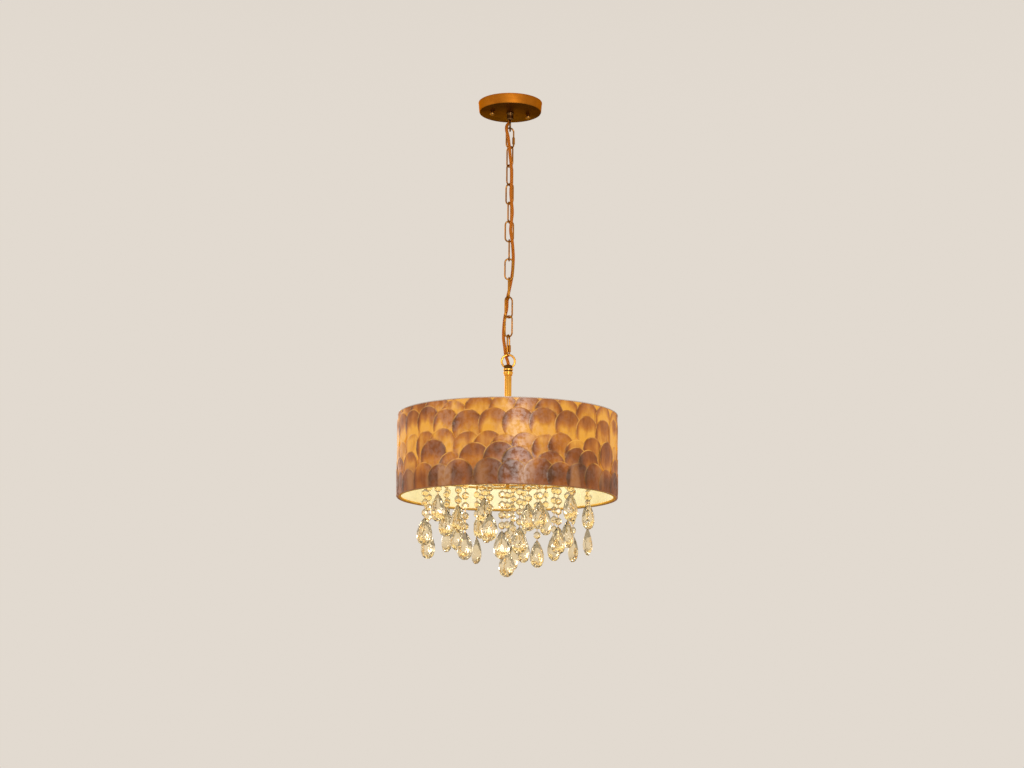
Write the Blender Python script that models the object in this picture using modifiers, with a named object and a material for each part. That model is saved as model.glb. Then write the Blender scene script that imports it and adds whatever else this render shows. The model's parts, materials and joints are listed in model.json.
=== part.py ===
"""Drum chandelier: a shell drum on a chain, with strands of cut crystal below it.

Metres, +Z up. The origin is on the ceiling, at the middle of the canopy, and everything
hangs below it. The photographed side faces -Y.
"""

import math

import bmesh
import bpy
from mathutils import Matrix, Vector

# Running gap between neighbouring pieces, and how far a cutter runs past what it cuts
GAP = 0.0003
OVERRUN = 0.002
# Distance under which points that are meant to meet are merged
MERGE = 0.00001

# Ceiling bracket, a flat bar that the canopy is screwed to
BRACKET_LENGTH = 0.100
BRACKET_WIDTH = 0.018
BRACKET_THICKNESS = 0.002

# Canopy, a shallow dish against the ceiling
CANOPY_TOP_RADIUS = 0.060
CANOPY_FACE_RADIUS = 0.058
CANOPY_DEPTH = 0.019
CANOPY_WALL = 0.001
CANOPY_STEPS = 32

# Canopy screws with ball heads
SCREW_SPACING = 0.070
SCREW_RADIUS = 0.002
SCREW_LINE_TURN = math.radians(16)
KNOB_RADIUS = 0.0046
KNOB_SEAT_RADIUS = 0.0032
KNOB_HEIGHT = 0.0085

# Threaded nipple between the bracket and the canopy loop
NIPPLE_RADIUS = 0.0048
NIPPLE_ENTRY = 0.010

# Supply cord
CORD_RADIUS = 0.003
CORD_BORE_RADIUS = 0.0035
CORD_POINTS_PER_SPAN = 2

# Canopy loop, seen edge on from the front
LOOP_FLANGE_RADIUS = 0.0075
LOOP_FLANGE_HEIGHT = 0.002
LOOP_COLLAR_RADIUS = 0.00625
LOOP_COLLAR_LENGTH = 0.0142
LOOP_WIRE_RADIUS = 0.00175
LOOP_RING_RADIUS = 0.01025
LOOP_LOWEST = 0.05375

# Chain
LINK_COUNT = 12
LINK_WIRE_RADIUS = 0.0015
LINK_BOW_RADIUS = 0.0075
LINK_LENGTH = 0.0395
LINK_BOW_STEPS = 6
# How each link stands, turned about the vertical, from face on
LINK_TURNS = [math.radians(a) for a in (25, -45, 45, -30, 70, 0, 90, 5, 95, 30, -30, 75)]
# The first and last link open at their right leg, under a threaded sleeve
QUICK_GAP = 0.004
QUICK_GAP_DROP = 0.0045
SLEEVE_RADIUS = 0.0027
SLEEVE_LENGTH = 0.013
SLEEVE_DROP = 0.003
SLEEVE_SIDES = 6

# Stem with its horseshoe loop
HORSESHOE_RADIUS = 0.0121
HORSESHOE_WIRE_RADIUS = 0.0019
HORSESHOE_SWEEP = math.radians(290)
HORSESHOE_STEPS = 16
COLLAR_NECK_RADIUS = 0.0078
COLLAR_FLANGE_RADIUS = 0.00875
COLLAR_WAIST_RADIUS = 0.0074
COLLAR_TOP_DROP = 0.0193
COLLAR_NECK_HEIGHT = 0.0071
COLLAR_FLANGE_HEIGHT = 0.003
COLLAR_WAIST_HEIGHT = 0.0025
COLLAR_SKIRT_HEIGHT = 0.0035
STEM_RADIUS = 0.00625
STEM_BORE_RADIUS = 0.0045
STEM_ENTRY = 0.008
STEM_STEPS = 16
# Length of stem that shows between the collar and the shade
STEM_SHOWN = 0.0754

# Shade
SHADE_RADIUS = 0.200
SHADE_HEIGHT = 0.152
SHELL_THICKNESS = 0.002
LINER_THICKNESS = 0.001
LINER_INSET = 0.0008
SHADE_STEPS = 48
SHADE_WIRE_RADIUS = 0.002
SPIDER_ARMS = 3
SPIDER_ARM_WIDTH = 0.010
SPIDER_ARM_THICKNESS = 0.002
SPIDER_HUB_RADIUS = 0.015
SPIDER_HUB_HEIGHT = 0.003
SPIDER_NUT_RADIUS = 0.012
SPIDER_NUT_HEIGHT = 0.006

# Crystal frame, three wire rings on spokes, a little above the shade's lower edge
FRAME_RISE = 0.038
FRAME_WIRE_RADIUS = 0.002
FRAME_SPOKES = 3
FRAME_SPOKE_TURN = math.radians(60)
FRAME_HUB_RADIUS = 0.018
FRAME_HUB_HEIGHT = 0.007
OUTER_RING_RADIUS = 0.150
MIDDLE_RING_RADIUS = 0.110
INNER_RING_RADIUS = 0.055
RING_STEPS_PER_HOOK = 3

# Lamp cluster with upright sockets and round bulbs
LAMP_COUNT = 3
LAMP_TURN = math.radians(60)
LAMP_RING_RADIUS = 0.075
CLUSTER_RADIUS = 0.020
CLUSTER_HEIGHT = 0.018
LAMP_ARM_RADIUS = 0.004
LAMP_BOSS_RADIUS = 0.010
LAMP_BOSS_RISE = 0.0065
SOCKET_RADIUS = 0.013
SOCKET_HEIGHT = 0.030
SOCKET_WALL = 0.0055
SOCKET_FLOOR = 0.008
BULB_RADIUS = 0.0225
BULB_BASE_CLEARANCE = 0.0005
BULB_STEPS = 12
BULB_BOWS = 5

# Finial that clamps the frame and the cluster on the stem
FINIAL_RADIUS = 0.013
FINIAL_HEIGHT = 0.0080
FINIAL_FOOT_RADIUS = 0.005
FINIAL_BORE_DEPTH = 0.0067
EYE_RADIUS = 0.0032
EYE_WIRE_RADIUS = 0.0011

# Crystal strands: a wire hook, beads and a pear drop
HOOK_RADIUS = 0.0038
HOOK_WIRE_RADIUS = 0.0008
HOOK_SEAT_GAP = 0.0004
HOOK_STEPS = 8
TIE_RADIUS = 0.0006
STRAND_TOP = 0.005
NECK_RADIUS = 0.0009
BEAD_PITCH = 0.018
BEAD_RADIUS = 0.007
BEAD_FLAT = 0.006
DROP_LENGTH = 0.050
DROP_RADIUS = 0.0145
CRYSTAL_DEPTH_SHARE = 0.56
CRYSTAL_SIDES = 4
# Outline of the pear drop, as (share of its radius, share of its length from the top)
DROP_SHARES = [(0.36, 0.22), (0.80, 0.48), (1.0, 0.68), (0.66, 0.92)]
# Beads on each strand, and where the first hangs, counted from the front towards +X
OUTER_BEADS = [3, 2, 5, 2, 5, 2, 3, 5, 4, 5, 4, 2, 6, 6]
OUTER_START = math.radians(22.5)
MIDDLE_BEADS = [3, 5, 4, 5, 5, 3, 4, 3, 3, 4]
MIDDLE_START = math.radians(20)
INNER_BEADS = [5, 6, 6, 3, 2]
INNER_START = math.radians(24)
CENTRE_BEADS = 6
STRAND_RINGS = [
    ("outer", OUTER_RING_RADIUS, OUTER_START, OUTER_BEADS),
    ("middle", MIDDLE_RING_RADIUS, MIDDLE_START, MIDDLE_BEADS),
    ("inner", INNER_RING_RADIUS, INNER_START, INNER_BEADS),
]

# Colours, roughness and metallic value of the finishes
BRASS = ((0.72, 0.42, 0.10), 0.25, 1.0)
DARK_BRASS = ((0.42, 0.22, 0.06), 0.35, 1.0)
STEEL = ((0.55, 0.55, 0.55), 0.40, 1.0)
CORD_GOLD = ((0.62, 0.30, 0.05), 0.60, 0.0)
CAPIZ = ((0.62, 0.40, 0.26), 0.35, 0.0)
LINING = ((0.95, 0.88, 0.70), 0.60, 0.0)
PORCELAIN = ((0.90, 0.86, 0.78), 0.45, 0.0)
BULB_GLASS = ((1.0, 0.93, 0.75), 0.15, 0.0)
CRYSTAL = ((0.96, 0.93, 0.84), 0.05, 0.0)

# Heights worked out from the sizes above, all measured down from the ceiling
LINK_STEP = LINK_LENGTH - 2 * LINK_WIRE_RADIUS - GAP
FIRST_HOOK_RISE = LOOP_WIRE_RADIUS + GAP + LINK_WIRE_RADIUS
LINK_HOOK_RISE = 2 * LINK_WIRE_RADIUS + GAP
FIRST_LINK_TOP = LOOP_LOWEST - FIRST_HOOK_RISE
LAST_LINK_BOTTOM = FIRST_LINK_TOP + LINK_STEP * (LINK_COUNT - 1) + LINK_LENGTH
HORSESHOE_TOP = LAST_LINK_BOTTOM - LINK_WIRE_RADIUS - GAP - HORSESHOE_WIRE_RADIUS
COLLAR_TOP = HORSESHOE_TOP + COLLAR_TOP_DROP
COLLAR_BOTTOM = (
    COLLAR_TOP
    + COLLAR_NECK_HEIGHT
    + 2 * COLLAR_FLANGE_HEIGHT
    + COLLAR_WAIST_HEIGHT
    + COLLAR_SKIRT_HEIGHT
)
STEM_TOP = COLLAR_BOTTOM - STEM_ENTRY
SHADE_TOP = COLLAR_BOTTOM + STEM_SHOWN
SHADE_BOTTOM = SHADE_TOP + SHADE_HEIGHT
FRAME_DROP = SHADE_BOTTOM - FRAME_RISE
FRAME_HUB_TOP = FRAME_DROP - FRAME_HUB_HEIGHT / 2
FRAME_HUB_BOTTOM = FRAME_DROP + FRAME_HUB_HEIGHT / 2
FINIAL_TOP = FRAME_HUB_BOTTOM + GAP
STEM_BOTTOM = FINIAL_TOP + FINIAL_BORE_DEPTH - GAP
CLUSTER_BOTTOM = FRAME_HUB_TOP - GAP
LAMP_ARM_DROP = CLUSTER_BOTTOM - CLUSTER_HEIGHT / 2
SOCKET_BOTTOM = LAMP_ARM_DROP - LAMP_BOSS_RISE - GAP
SOCKET_TOP = SOCKET_BOTTOM - SOCKET_HEIGHT
EYE_DROP = FINIAL_TOP + FINIAL_HEIGHT + EYE_RADIUS
SHADE_RING_RADIUS = (
    SHADE_RADIUS - SHELL_THICKNESS - LINER_THICKNESS - 2 * GAP - SHADE_WIRE_RADIUS
)
SPIDER_DROP = SHADE_TOP + LINER_INSET + SHADE_WIRE_RADIUS
STEM_HOLE_RADIUS = STEM_RADIUS + GAP

# Route of the cord, in millimetres, through the chain's sides and down into the stem
MM = 0.001
CORD_ROUTE = [
    (0, 0, -3), (0, 0, -18), (0, 0, -32), (-1.6, -0.6, -38), (-6.0, -4.2, -45.5),
    (-6.6, -8.8, -55), (-3.4, -9.2, -70), (-1.2, -9.4, -88), (0.5, -10.3, -106),
    (2.6, -11.6, -124), (3.4, -12, -142), (3.2, -11.6, -160), (2.4, -10.4, -178.5),
    (3.8, -10.0, -196), (5.4, -10.0, -215), (3.8, -10.6, -233), (2.6, -8.8, -251),
    (5.2, -8.6, -268), (6.8, -2.6, -282), (7.8, 4.6, -297), (7.4, 7.4, -312),
    (6.2, 8.4, -329), (3.4, 12.6, -345), (0.4, 13.6, -360), (-2.8, 12.2, -377),
    (-3.6, 7.4, -395), (-7.0, 10.0, -412), (-8.8, 10.0, -432), (-9.0, 8.2, -452),
    (-6.8, 3.0, -468), (-5.6, 4.4, -479), (-3.6, 6.2, -487.5), (-1.0, 2.2, -496),
    (0, 0, -502.5), (0, 0, -520), (0, 0, -600), (0, 0, -690),
]


def collection(name):
    found = bpy.data.collections.new(name)
    bpy.context.scene.collection.children.link(found)
    return found


def clear_scene():
    for obj in list(bpy.data.objects):
        bpy.data.objects.remove(obj)


clear_scene()
PARTS = collection("drum_chandelier")
TOOLS = collection("cutters")


def give_finish(obj, finish):
    colour, roughness, metallic = finish
    material = bpy.data.materials.new(obj.name + "_finish")
    material.use_nodes = True
    shader = material.node_tree.nodes["Principled BSDF"]
    shader.inputs["Base Color"].default_value = (*colour, 1)
    shader.inputs["Roughness"].default_value = roughness
    shader.inputs["Metallic"].default_value = metallic
    obj.data.materials.clear()
    obj.data.materials.append(material)


def add_object(name, data, home=None):
    obj = bpy.data.objects.new(name, data)
    (home or PARTS).objects.link(obj)
    return obj


def below(drop, x=0.0, y=0.0):
    """A point that far under the ceiling."""
    return Vector((x, y, -drop))


def around(radius, angle, drop=0.0):
    """A point at an angle counted from the front, -Y, towards +X."""
    return Vector((radius * math.sin(angle), -radius * math.cos(angle), -drop))


def turned(name, outline, steps, home=None):
    """A turned solid. outline lists (radius, z) down the outside; a bore comes back up."""
    mesh = bpy.data.meshes.new(name)
    points = [(r, 0, z) for r, z in outline]
    count = len(points)
    bored = outline[0][0] > 0
    edges = [(i, i + 1) for i in range(count - 1)] + ([(count - 1, 0)] if bored else [])
    mesh.from_pydata(points, edges, [])
    obj = add_object(name, mesh, home)
    screw = obj.modifiers.new("turn", "SCREW")
    screw.steps = steps
    screw.render_steps = steps
    screw.use_merge_vertices = True
    screw.merge_threshold = MERGE
    weld = obj.modifiers.new("poles", "WELD")
    weld.merge_threshold = MERGE
    return obj


def wire(name, points, radius, sides_level, closed=False, home=None):
    """A round wire along points."""
    curve = bpy.data.curves.new(name, "CURVE")
    curve.dimensions = "3D"
    spline = curve.splines.new("POLY")
    spline.points.add(len(points) - 1)
    for place, point in zip(spline.points, points, strict=True):
        place.co = (*point, 1)
    spline.use_cyclic_u = closed
    curve.bevel_depth = radius
    curve.bevel_resolution = sides_level
    curve.use_fill_caps = True
    return add_object(name, curve, home)


def box(name, size, centre, home=None):
    mesh = bpy.data.meshes.new(name)
    shape = bmesh.new()
    bmesh.ops.create_cube(shape, size=1)
    bmesh.ops.transform(
        shape, matrix=Matrix.Diagonal((*size, 1)), verts=shape.verts
    )
    shape.to_mesh(mesh)
    shape.free()
    obj = add_object(name, mesh, home)
    obj.location = centre
    return obj


def baked(obj, seams=True):
    """The object as a plain mesh in place, its open seams welded."""
    bpy.context.view_layer.update()
    held = obj.evaluated_get(bpy.context.evaluated_depsgraph_get())
    mesh = bpy.data.meshes.new_from_object(held)
    shape = bmesh.new()
    shape.from_mesh(mesh)
    if seams:
        bmesh.ops.remove_doubles(shape, verts=shape.verts, dist=MERGE)
    bmesh.ops.recalc_face_normals(shape, faces=shape.faces)
    shape.to_mesh(mesh)
    shape.free()
    name = obj.name
    place = obj.matrix_world.copy()
    home = obj.users_collection[0]
    bpy.data.objects.remove(obj)
    made = add_object(name, mesh, home)
    made.matrix_world = place
    return made


def combine(obj, others, operation):
    """Unions others into obj, or cuts them from it. They stay as hidden tools."""
    for other in others:
        for home in list(other.users_collection):
            home.objects.unlink(other)
        TOOLS.objects.link(other)
        other.hide_render = True
        other.display_type = "WIRE"
        change = obj.modifiers.new(other.name, "BOOLEAN")
        change.operation = operation
        change.solver = "EXACT"
        change.object = other
    return obj


def smooth(obj):
    """Shades round pieces smooth up to the angle of a real edge."""
    if obj.type == "MESH":
        obj.data.shade_smooth()
        obj.data.set_sharp_from_angle(angle=math.radians(40))
    return obj


def drill(name, radius, top, bottom, place=(0, 0), steps=16):
    """A cutter for an upright hole between two heights."""
    outline = [(0, -top), (radius, -top), (radius, -bottom), (0, -bottom)]
    tool = baked(turned(name, outline, steps, TOOLS))
    tool.location = (*place, 0)
    return tool


def screw_place(side):
    return (
        side * SCREW_SPACING / 2 * math.cos(SCREW_LINE_TURN),
        side * SCREW_SPACING / 2 * math.sin(SCREW_LINE_TURN),
    )


def make_bracket():
    size = (BRACKET_LENGTH, BRACKET_WIDTH, BRACKET_THICKNESS)
    bar = box("ceiling_bracket", size, below(BRACKET_THICKNESS / 2))
    bar.rotation_euler.z = SCREW_LINE_TURN
    past = BRACKET_THICKNESS + OVERRUN
    holes = [drill("bracket_centre_hole", NIPPLE_RADIUS + GAP, -OVERRUN, past)]
    for side, label in ((-1, "left"), (1, "right")):
        place = screw_place(side)
        name = "bracket_hole_" + label
        holes.append(drill(name, SCREW_RADIUS + GAP, -OVERRUN, past, place, 12))
    combine(bar, holes, "DIFFERENCE")
    give_finish(bar, STEEL)


def make_canopy():
    inner_top = CANOPY_TOP_RADIUS - CANOPY_WALL
    inner_face = CANOPY_FACE_RADIUS - CANOPY_WALL
    hole = NIPPLE_RADIUS + GAP
    outline = [
        (CANOPY_TOP_RADIUS, 0),
        (CANOPY_FACE_RADIUS, -CANOPY_DEPTH + CANOPY_WALL),
        (inner_face, -CANOPY_DEPTH),
        (hole, -CANOPY_DEPTH),
        (hole, -CANOPY_DEPTH + CANOPY_WALL),
        (inner_face, -CANOPY_DEPTH + CANOPY_WALL),
        (inner_top, 0),
    ]
    dish = baked(turned("canopy", outline, CANOPY_STEPS))
    past = CANOPY_DEPTH + OVERRUN
    above = CANOPY_DEPTH - CANOPY_WALL - OVERRUN
    holes = []
    for side, label in ((-1, "left"), (1, "right")):
        name = "canopy_hole_" + label
        place = screw_place(side)
        holes.append(drill(name, SCREW_RADIUS + GAP, above, past, place, 12))
    combine(dish, holes, "DIFFERENCE")
    give_finish(smooth(dish), BRASS)


def make_canopy_screws():
    seat = CANOPY_DEPTH + GAP
    middle = seat + KNOB_HEIGHT / 2
    outline = [
        (0, 0),
        (SCREW_RADIUS, 0),
        (SCREW_RADIUS, -seat),
        (KNOB_SEAT_RADIUS, -seat),
        (KNOB_RADIUS, -middle),
        (KNOB_SEAT_RADIUS, -middle - KNOB_HEIGHT / 4),
        (0, -seat - KNOB_HEIGHT),
    ]
    for side, label in ((-1, "left"), (1, "right")):
        screw = turned("canopy_screw_" + label, outline, 12)
        screw.location = (*screw_place(side), 0)
        give_finish(smooth(screw), BRASS)


def make_nipple():
    bottom = CANOPY_DEPTH + GAP + NIPPLE_ENTRY
    outline = [
        (NIPPLE_RADIUS, 0),
        (NIPPLE_RADIUS, -bottom),
        (CORD_BORE_RADIUS, -bottom),
        (CORD_BORE_RADIUS, 0),
    ]
    give_finish(smooth(turned("canopy_nipple", outline, 16)), STEEL)


def make_canopy_loop():
    top = CANOPY_DEPTH + GAP
    flange = top + LOOP_FLANGE_HEIGHT
    bottom = top + LOOP_COLLAR_LENGTH
    socket = top + NIPPLE_ENTRY + GAP
    socket_radius = NIPPLE_RADIUS + GAP
    outline = [
        (LOOP_FLANGE_RADIUS, -top),
        (LOOP_FLANGE_RADIUS, -flange),
        (LOOP_COLLAR_RADIUS, -flange),
        (LOOP_COLLAR_RADIUS, -bottom),
        (CORD_BORE_RADIUS, -bottom),
        (CORD_BORE_RADIUS, -socket),
        (socket_radius, -socket),
        (socket_radius, -top),
    ]
    collar = baked(turned("canopy_loop", outline, 16))
    centre = LOOP_LOWEST - LOOP_RING_RADIUS
    count = HORSESHOE_STEPS
    points = []
    for i in range(count):
        angle = 2 * math.pi * i / count
        y = LOOP_RING_RADIUS * math.sin(angle)
        z = -centre + LOOP_RING_RADIUS * math.cos(angle)
        points.append((0, y, z))
    ring = wire("canopy_loop_ring", points, LOOP_WIRE_RADIUS, 2, True, TOOLS)
    combine(collar, [baked(ring)], "UNION")
    bore = drill("canopy_loop_bore", CORD_BORE_RADIUS, socket, bottom + OVERRUN * 2)
    combine(collar, [bore], "DIFFERENCE")
    give_finish(smooth(collar), DARK_BRASS)


def link_points(opened):
    """The wire's centre line, its top bow's crown at the origin, in the XZ plane."""
    half = LINK_LENGTH / 2 - LINK_BOW_RADIUS
    points = []
    for end, start in ((1, 0.0), (-1, math.pi)):
        for i in range(LINK_BOW_STEPS + 1):
            angle = start + math.pi * i / LINK_BOW_STEPS
            x = LINK_BOW_RADIUS * math.cos(angle)
            z = end * half + LINK_BOW_RADIUS * math.sin(angle) - LINK_LENGTH / 2
            points.append((x, 0, z))
    if opened:
        middle = -LINK_LENGTH / 2 - QUICK_GAP_DROP
        points.insert(0, (LINK_BOW_RADIUS, 0, middle + QUICK_GAP / 2))
        points.append((LINK_BOW_RADIUS, 0, middle - QUICK_GAP / 2))
    return points


def make_chain():
    """Each link's origin is on its hinge, the middle of the wire that it hangs on."""
    shared = None
    for k in range(LINK_COUNT):
        name = f"chain_link_{k + 1:02d}"
        opened = k in (0, LINK_COUNT - 1)
        rise = LINK_HOOK_RISE if k else FIRST_HOOK_RISE
        if opened or shared is None:
            points = [(x, y, z + rise) for x, y, z in link_points(opened)]
            link = wire(name, points, LINK_WIRE_RADIUS, 1, not opened)
            if not opened:
                shared = link.data
        else:
            link = add_object(name, shared.copy())
        link.location = below(FIRST_LINK_TOP + LINK_STEP * k + rise)
        link.rotation_euler.z = LINK_TURNS[k]
        give_finish(link, BRASS)


def make_sleeves():
    inner = LINK_WIRE_RADIUS + GAP
    outline = [
        (SLEEVE_RADIUS, SLEEVE_LENGTH / 2),
        (SLEEVE_RADIUS, -SLEEVE_LENGTH / 2),
        (inner, -SLEEVE_LENGTH / 2),
        (inner, SLEEVE_LENGTH / 2),
    ]
    for k, label in ((0, "upper"), (LINK_COUNT - 1, "lower")):
        sleeve = turned("quick_link_sleeve_" + label, outline, 2 * SLEEVE_SIDES)
        drop = FIRST_LINK_TOP + LINK_STEP * k + LINK_LENGTH / 2 + SLEEVE_DROP
        across = LINK_BOW_RADIUS
        turn = LINK_TURNS[k]
        sleeve.location = below(drop, across * math.cos(turn), across * math.sin(turn))
        sleeve.rotation_euler.z = turn
        give_finish(smooth(sleeve), BRASS)


def spline_point(p0, p1, p2, p3, u):
    """A smooth curve through p1 and p2, guided by the points beside them."""
    return (
        p1 * 2
        + (p2 - p0) * u
        + (p0 * 2 - p1 * 5 + p2 * 4 - p3) * u**2
        + (p1 * 3 - p0 - p2 * 3 + p3) * u**3
    ) / 2


def make_cord():
    route = [Vector(p) * MM for p in CORD_ROUTE]
    guided = [route[0] * 2 - route[1], *route, route[-1] * 2 - route[-2]]
    points = []
    for i in range(1, len(guided) - 2):
        for step in range(CORD_POINTS_PER_SPAN):
            u = step / CORD_POINTS_PER_SPAN
            points.append(spline_point(*guided[i - 1 : i + 3], u))
    points.append(route[-1])
    cord = wire("supply_cord", points, CORD_RADIUS, 2)
    give_finish(cord, CORD_GOLD)


def make_stem_loop():
    """The horseshoe that hangs on the last link, and the collar under it."""
    neck = COLLAR_TOP + COLLAR_NECK_HEIGHT
    first = neck + COLLAR_FLANGE_HEIGHT
    waist = first + COLLAR_WAIST_HEIGHT
    second = waist + COLLAR_FLANGE_HEIGHT
    seat = STEM_TOP - GAP
    outline = [
        (COLLAR_NECK_RADIUS, -COLLAR_TOP),
        (COLLAR_NECK_RADIUS, -neck),
        (COLLAR_FLANGE_RADIUS, -neck),
        (COLLAR_FLANGE_RADIUS, -first),
        (COLLAR_WAIST_RADIUS, -first),
        (COLLAR_WAIST_RADIUS, -waist),
        (COLLAR_FLANGE_RADIUS, -waist),
        (COLLAR_FLANGE_RADIUS, -second),
        (COLLAR_NECK_RADIUS, -second),
        (COLLAR_NECK_RADIUS, -COLLAR_BOTTOM),
        (STEM_HOLE_RADIUS, -COLLAR_BOTTOM),
        (STEM_HOLE_RADIUS, -seat),
        (CORD_BORE_RADIUS, -seat),
        (CORD_BORE_RADIUS, -COLLAR_TOP),
    ]
    collar = baked(turned("stem_loop", outline, STEM_STEPS))
    points = []
    for i in range(HORSESHOE_STEPS + 1):
        angle = HORSESHOE_SWEEP * (i / HORSESHOE_STEPS - 0.5)
        x = HORSESHOE_RADIUS * math.sin(angle)
        z = -HORSESHOE_TOP - HORSESHOE_RADIUS + HORSESHOE_RADIUS * math.cos(angle)
        points.append((x, 0, z))
    bow = wire("stem_loop_bow", points, HORSESHOE_WIRE_RADIUS, 2, False, TOOLS)
    combine(collar, [baked(bow)], "UNION")
    give_finish(smooth(collar), BRASS)


def make_stem():
    outline = [
        (STEM_RADIUS, -STEM_TOP),
        (STEM_RADIUS, -STEM_BOTTOM),
        (STEM_BORE_RADIUS, -STEM_BOTTOM),
        (STEM_BORE_RADIUS, -STEM_TOP),
    ]
    give_finish(smooth(turned("stem", outline, STEM_STEPS)), BRASS)


def ring_points(radius, drop, steps, start=math.pi / 2):
    """Points round a level ring. A turned piece has its own from +X, a quarter turn on."""
    turn = 2 * math.pi / steps
    return [around(radius, start + turn * i, drop) for i in range(steps)]


def hub(name, radius, top, height, home=None):
    """A round boss on the stem."""
    outline = [
        (radius, -top),
        (radius, -top - height),
        (STEM_HOLE_RADIUS, -top - height),
        (STEM_HOLE_RADIUS, -top),
    ]
    return turned(name, outline, STEM_STEPS, home)


def make_spider():
    """The shade's top ring and the arms that carry it on the stem."""
    top = SPIDER_DROP - SPIDER_HUB_HEIGHT / 2
    spider = baked(hub("shade_spider", SPIDER_HUB_RADIUS, top, SPIDER_HUB_HEIGHT))
    points = ring_points(SHADE_RING_RADIUS, SPIDER_DROP, SHADE_STEPS)
    ring = baked(wire("spider_ring", points, SHADE_WIRE_RADIUS, 1, True, TOOLS))
    start = (STEM_HOLE_RADIUS + SPIDER_HUB_RADIUS) / 2
    length = SHADE_RING_RADIUS - start
    arms = []
    for i in range(SPIDER_ARMS):
        angle = 2 * math.pi * i / SPIDER_ARMS
        size = (SPIDER_ARM_WIDTH, length, SPIDER_ARM_THICKNESS)
        centre = around(start + length / 2, angle, SPIDER_DROP)
        arm = box(f"spider_arm_{i + 1}", size, centre, TOOLS)
        arm.rotation_euler.z = angle
        arms.append(arm)
    combine(spider, [*arms, ring], "UNION")
    give_finish(smooth(spider), BRASS)
    nut_top = SPIDER_DROP + SPIDER_HUB_HEIGHT / 2 + GAP
    outline = [
        (SPIDER_NUT_RADIUS, -nut_top),
        (SPIDER_NUT_RADIUS, -nut_top - SPIDER_NUT_HEIGHT),
        (STEM_HOLE_RADIUS, -nut_top - SPIDER_NUT_HEIGHT),
        (STEM_HOLE_RADIUS, -nut_top),
    ]
    give_finish(turned("spider_nut", outline, 2 * SLEEVE_SIDES), BRASS)


def skin(name, outer, thickness, top, bottom, finish):
    outline = [
        (outer, -top),
        (outer, -bottom),
        (outer - thickness, -bottom),
        (outer - thickness, -top),
    ]
    give_finish(smooth(turned(name, outline, SHADE_STEPS)), finish)


def make_shade():
    skin("shade_shell", SHADE_RADIUS, SHELL_THICKNESS, SHADE_TOP, SHADE_BOTTOM, CAPIZ)
    liner_radius = SHADE_RADIUS - SHELL_THICKNESS - GAP
    top = SHADE_TOP + LINER_INSET
    bottom = SHADE_BOTTOM - LINER_INSET
    skin("shade_liner", liner_radius, LINER_THICKNESS, top, bottom, LINING)
    drop = SHADE_BOTTOM - SHADE_WIRE_RADIUS
    points = ring_points(SHADE_RING_RADIUS, drop, SHADE_STEPS)
    ring = wire("shade_bottom_ring", points, SHADE_WIRE_RADIUS, 1, True)
    give_finish(ring, BRASS)


def make_cluster():
    """The body on the stem, with an arm and a boss for each socket."""
    top = CLUSTER_BOTTOM - CLUSTER_HEIGHT
    body = baked(hub("lamp_cluster", CLUSTER_RADIUS, top, CLUSTER_HEIGHT))
    start = (STEM_HOLE_RADIUS + CLUSTER_RADIUS) / 2
    boss_top = LAMP_ARM_DROP - LAMP_BOSS_RISE
    boss_bottom = LAMP_ARM_DROP + LAMP_ARM_RADIUS
    arms = []
    for i in range(LAMP_COUNT):
        angle = LAMP_TURN + 2 * math.pi * i / LAMP_COUNT
        points = [around(r, angle, LAMP_ARM_DROP) for r in (start, LAMP_RING_RADIUS)]
        arm = wire(f"lamp_arm_{i + 1}", points, LAMP_ARM_RADIUS, 1, False, TOOLS)
        place = around(LAMP_RING_RADIUS, angle)
        boss = drill(
            f"lamp_boss_{i + 1}", LAMP_BOSS_RADIUS, boss_top, boss_bottom, place.xy, 12
        )
        arms += [baked(arm), boss]
    combine(body, arms, "UNION")
    give_finish(smooth(body), BRASS)


def make_lamps():
    bore = SOCKET_RADIUS - SOCKET_WALL
    floor = -SOCKET_BOTTOM + SOCKET_FLOOR
    socket_outline = [
        (0, floor),
        (bore, floor),
        (bore, -SOCKET_TOP),
        (SOCKET_RADIUS, -SOCKET_TOP),
        (SOCKET_RADIUS, -SOCKET_BOTTOM),
        (0, -SOCKET_BOTTOM),
    ]
    base = bore - BULB_BASE_CLEARANCE
    centre = -SOCKET_TOP + GAP + math.sqrt(BULB_RADIUS**2 - base**2)
    bulb_outline = [(0, centre + BULB_RADIUS)]
    widest = math.pi - math.asin(base / BULB_RADIUS)
    for i in range(1, BULB_BOWS + 1):
        angle = widest * i / BULB_BOWS
        radius = BULB_RADIUS * math.sin(angle)
        bulb_outline.append((radius, centre + BULB_RADIUS * math.cos(angle)))
    bulb_outline += [(base, floor + GAP), (0, floor + GAP)]
    for i in range(LAMP_COUNT):
        angle = LAMP_TURN + 2 * math.pi * i / LAMP_COUNT
        place = around(LAMP_RING_RADIUS, angle)
        socket = turned(f"lamp_socket_{i + 1}", socket_outline, BULB_STEPS)
        socket.location = place
        give_finish(smooth(socket), PORCELAIN)
        bulb = turned(f"bulb_{i + 1}", bulb_outline, BULB_STEPS)
        bulb.location = place
        give_finish(smooth(bulb), BULB_GLASS)


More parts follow.
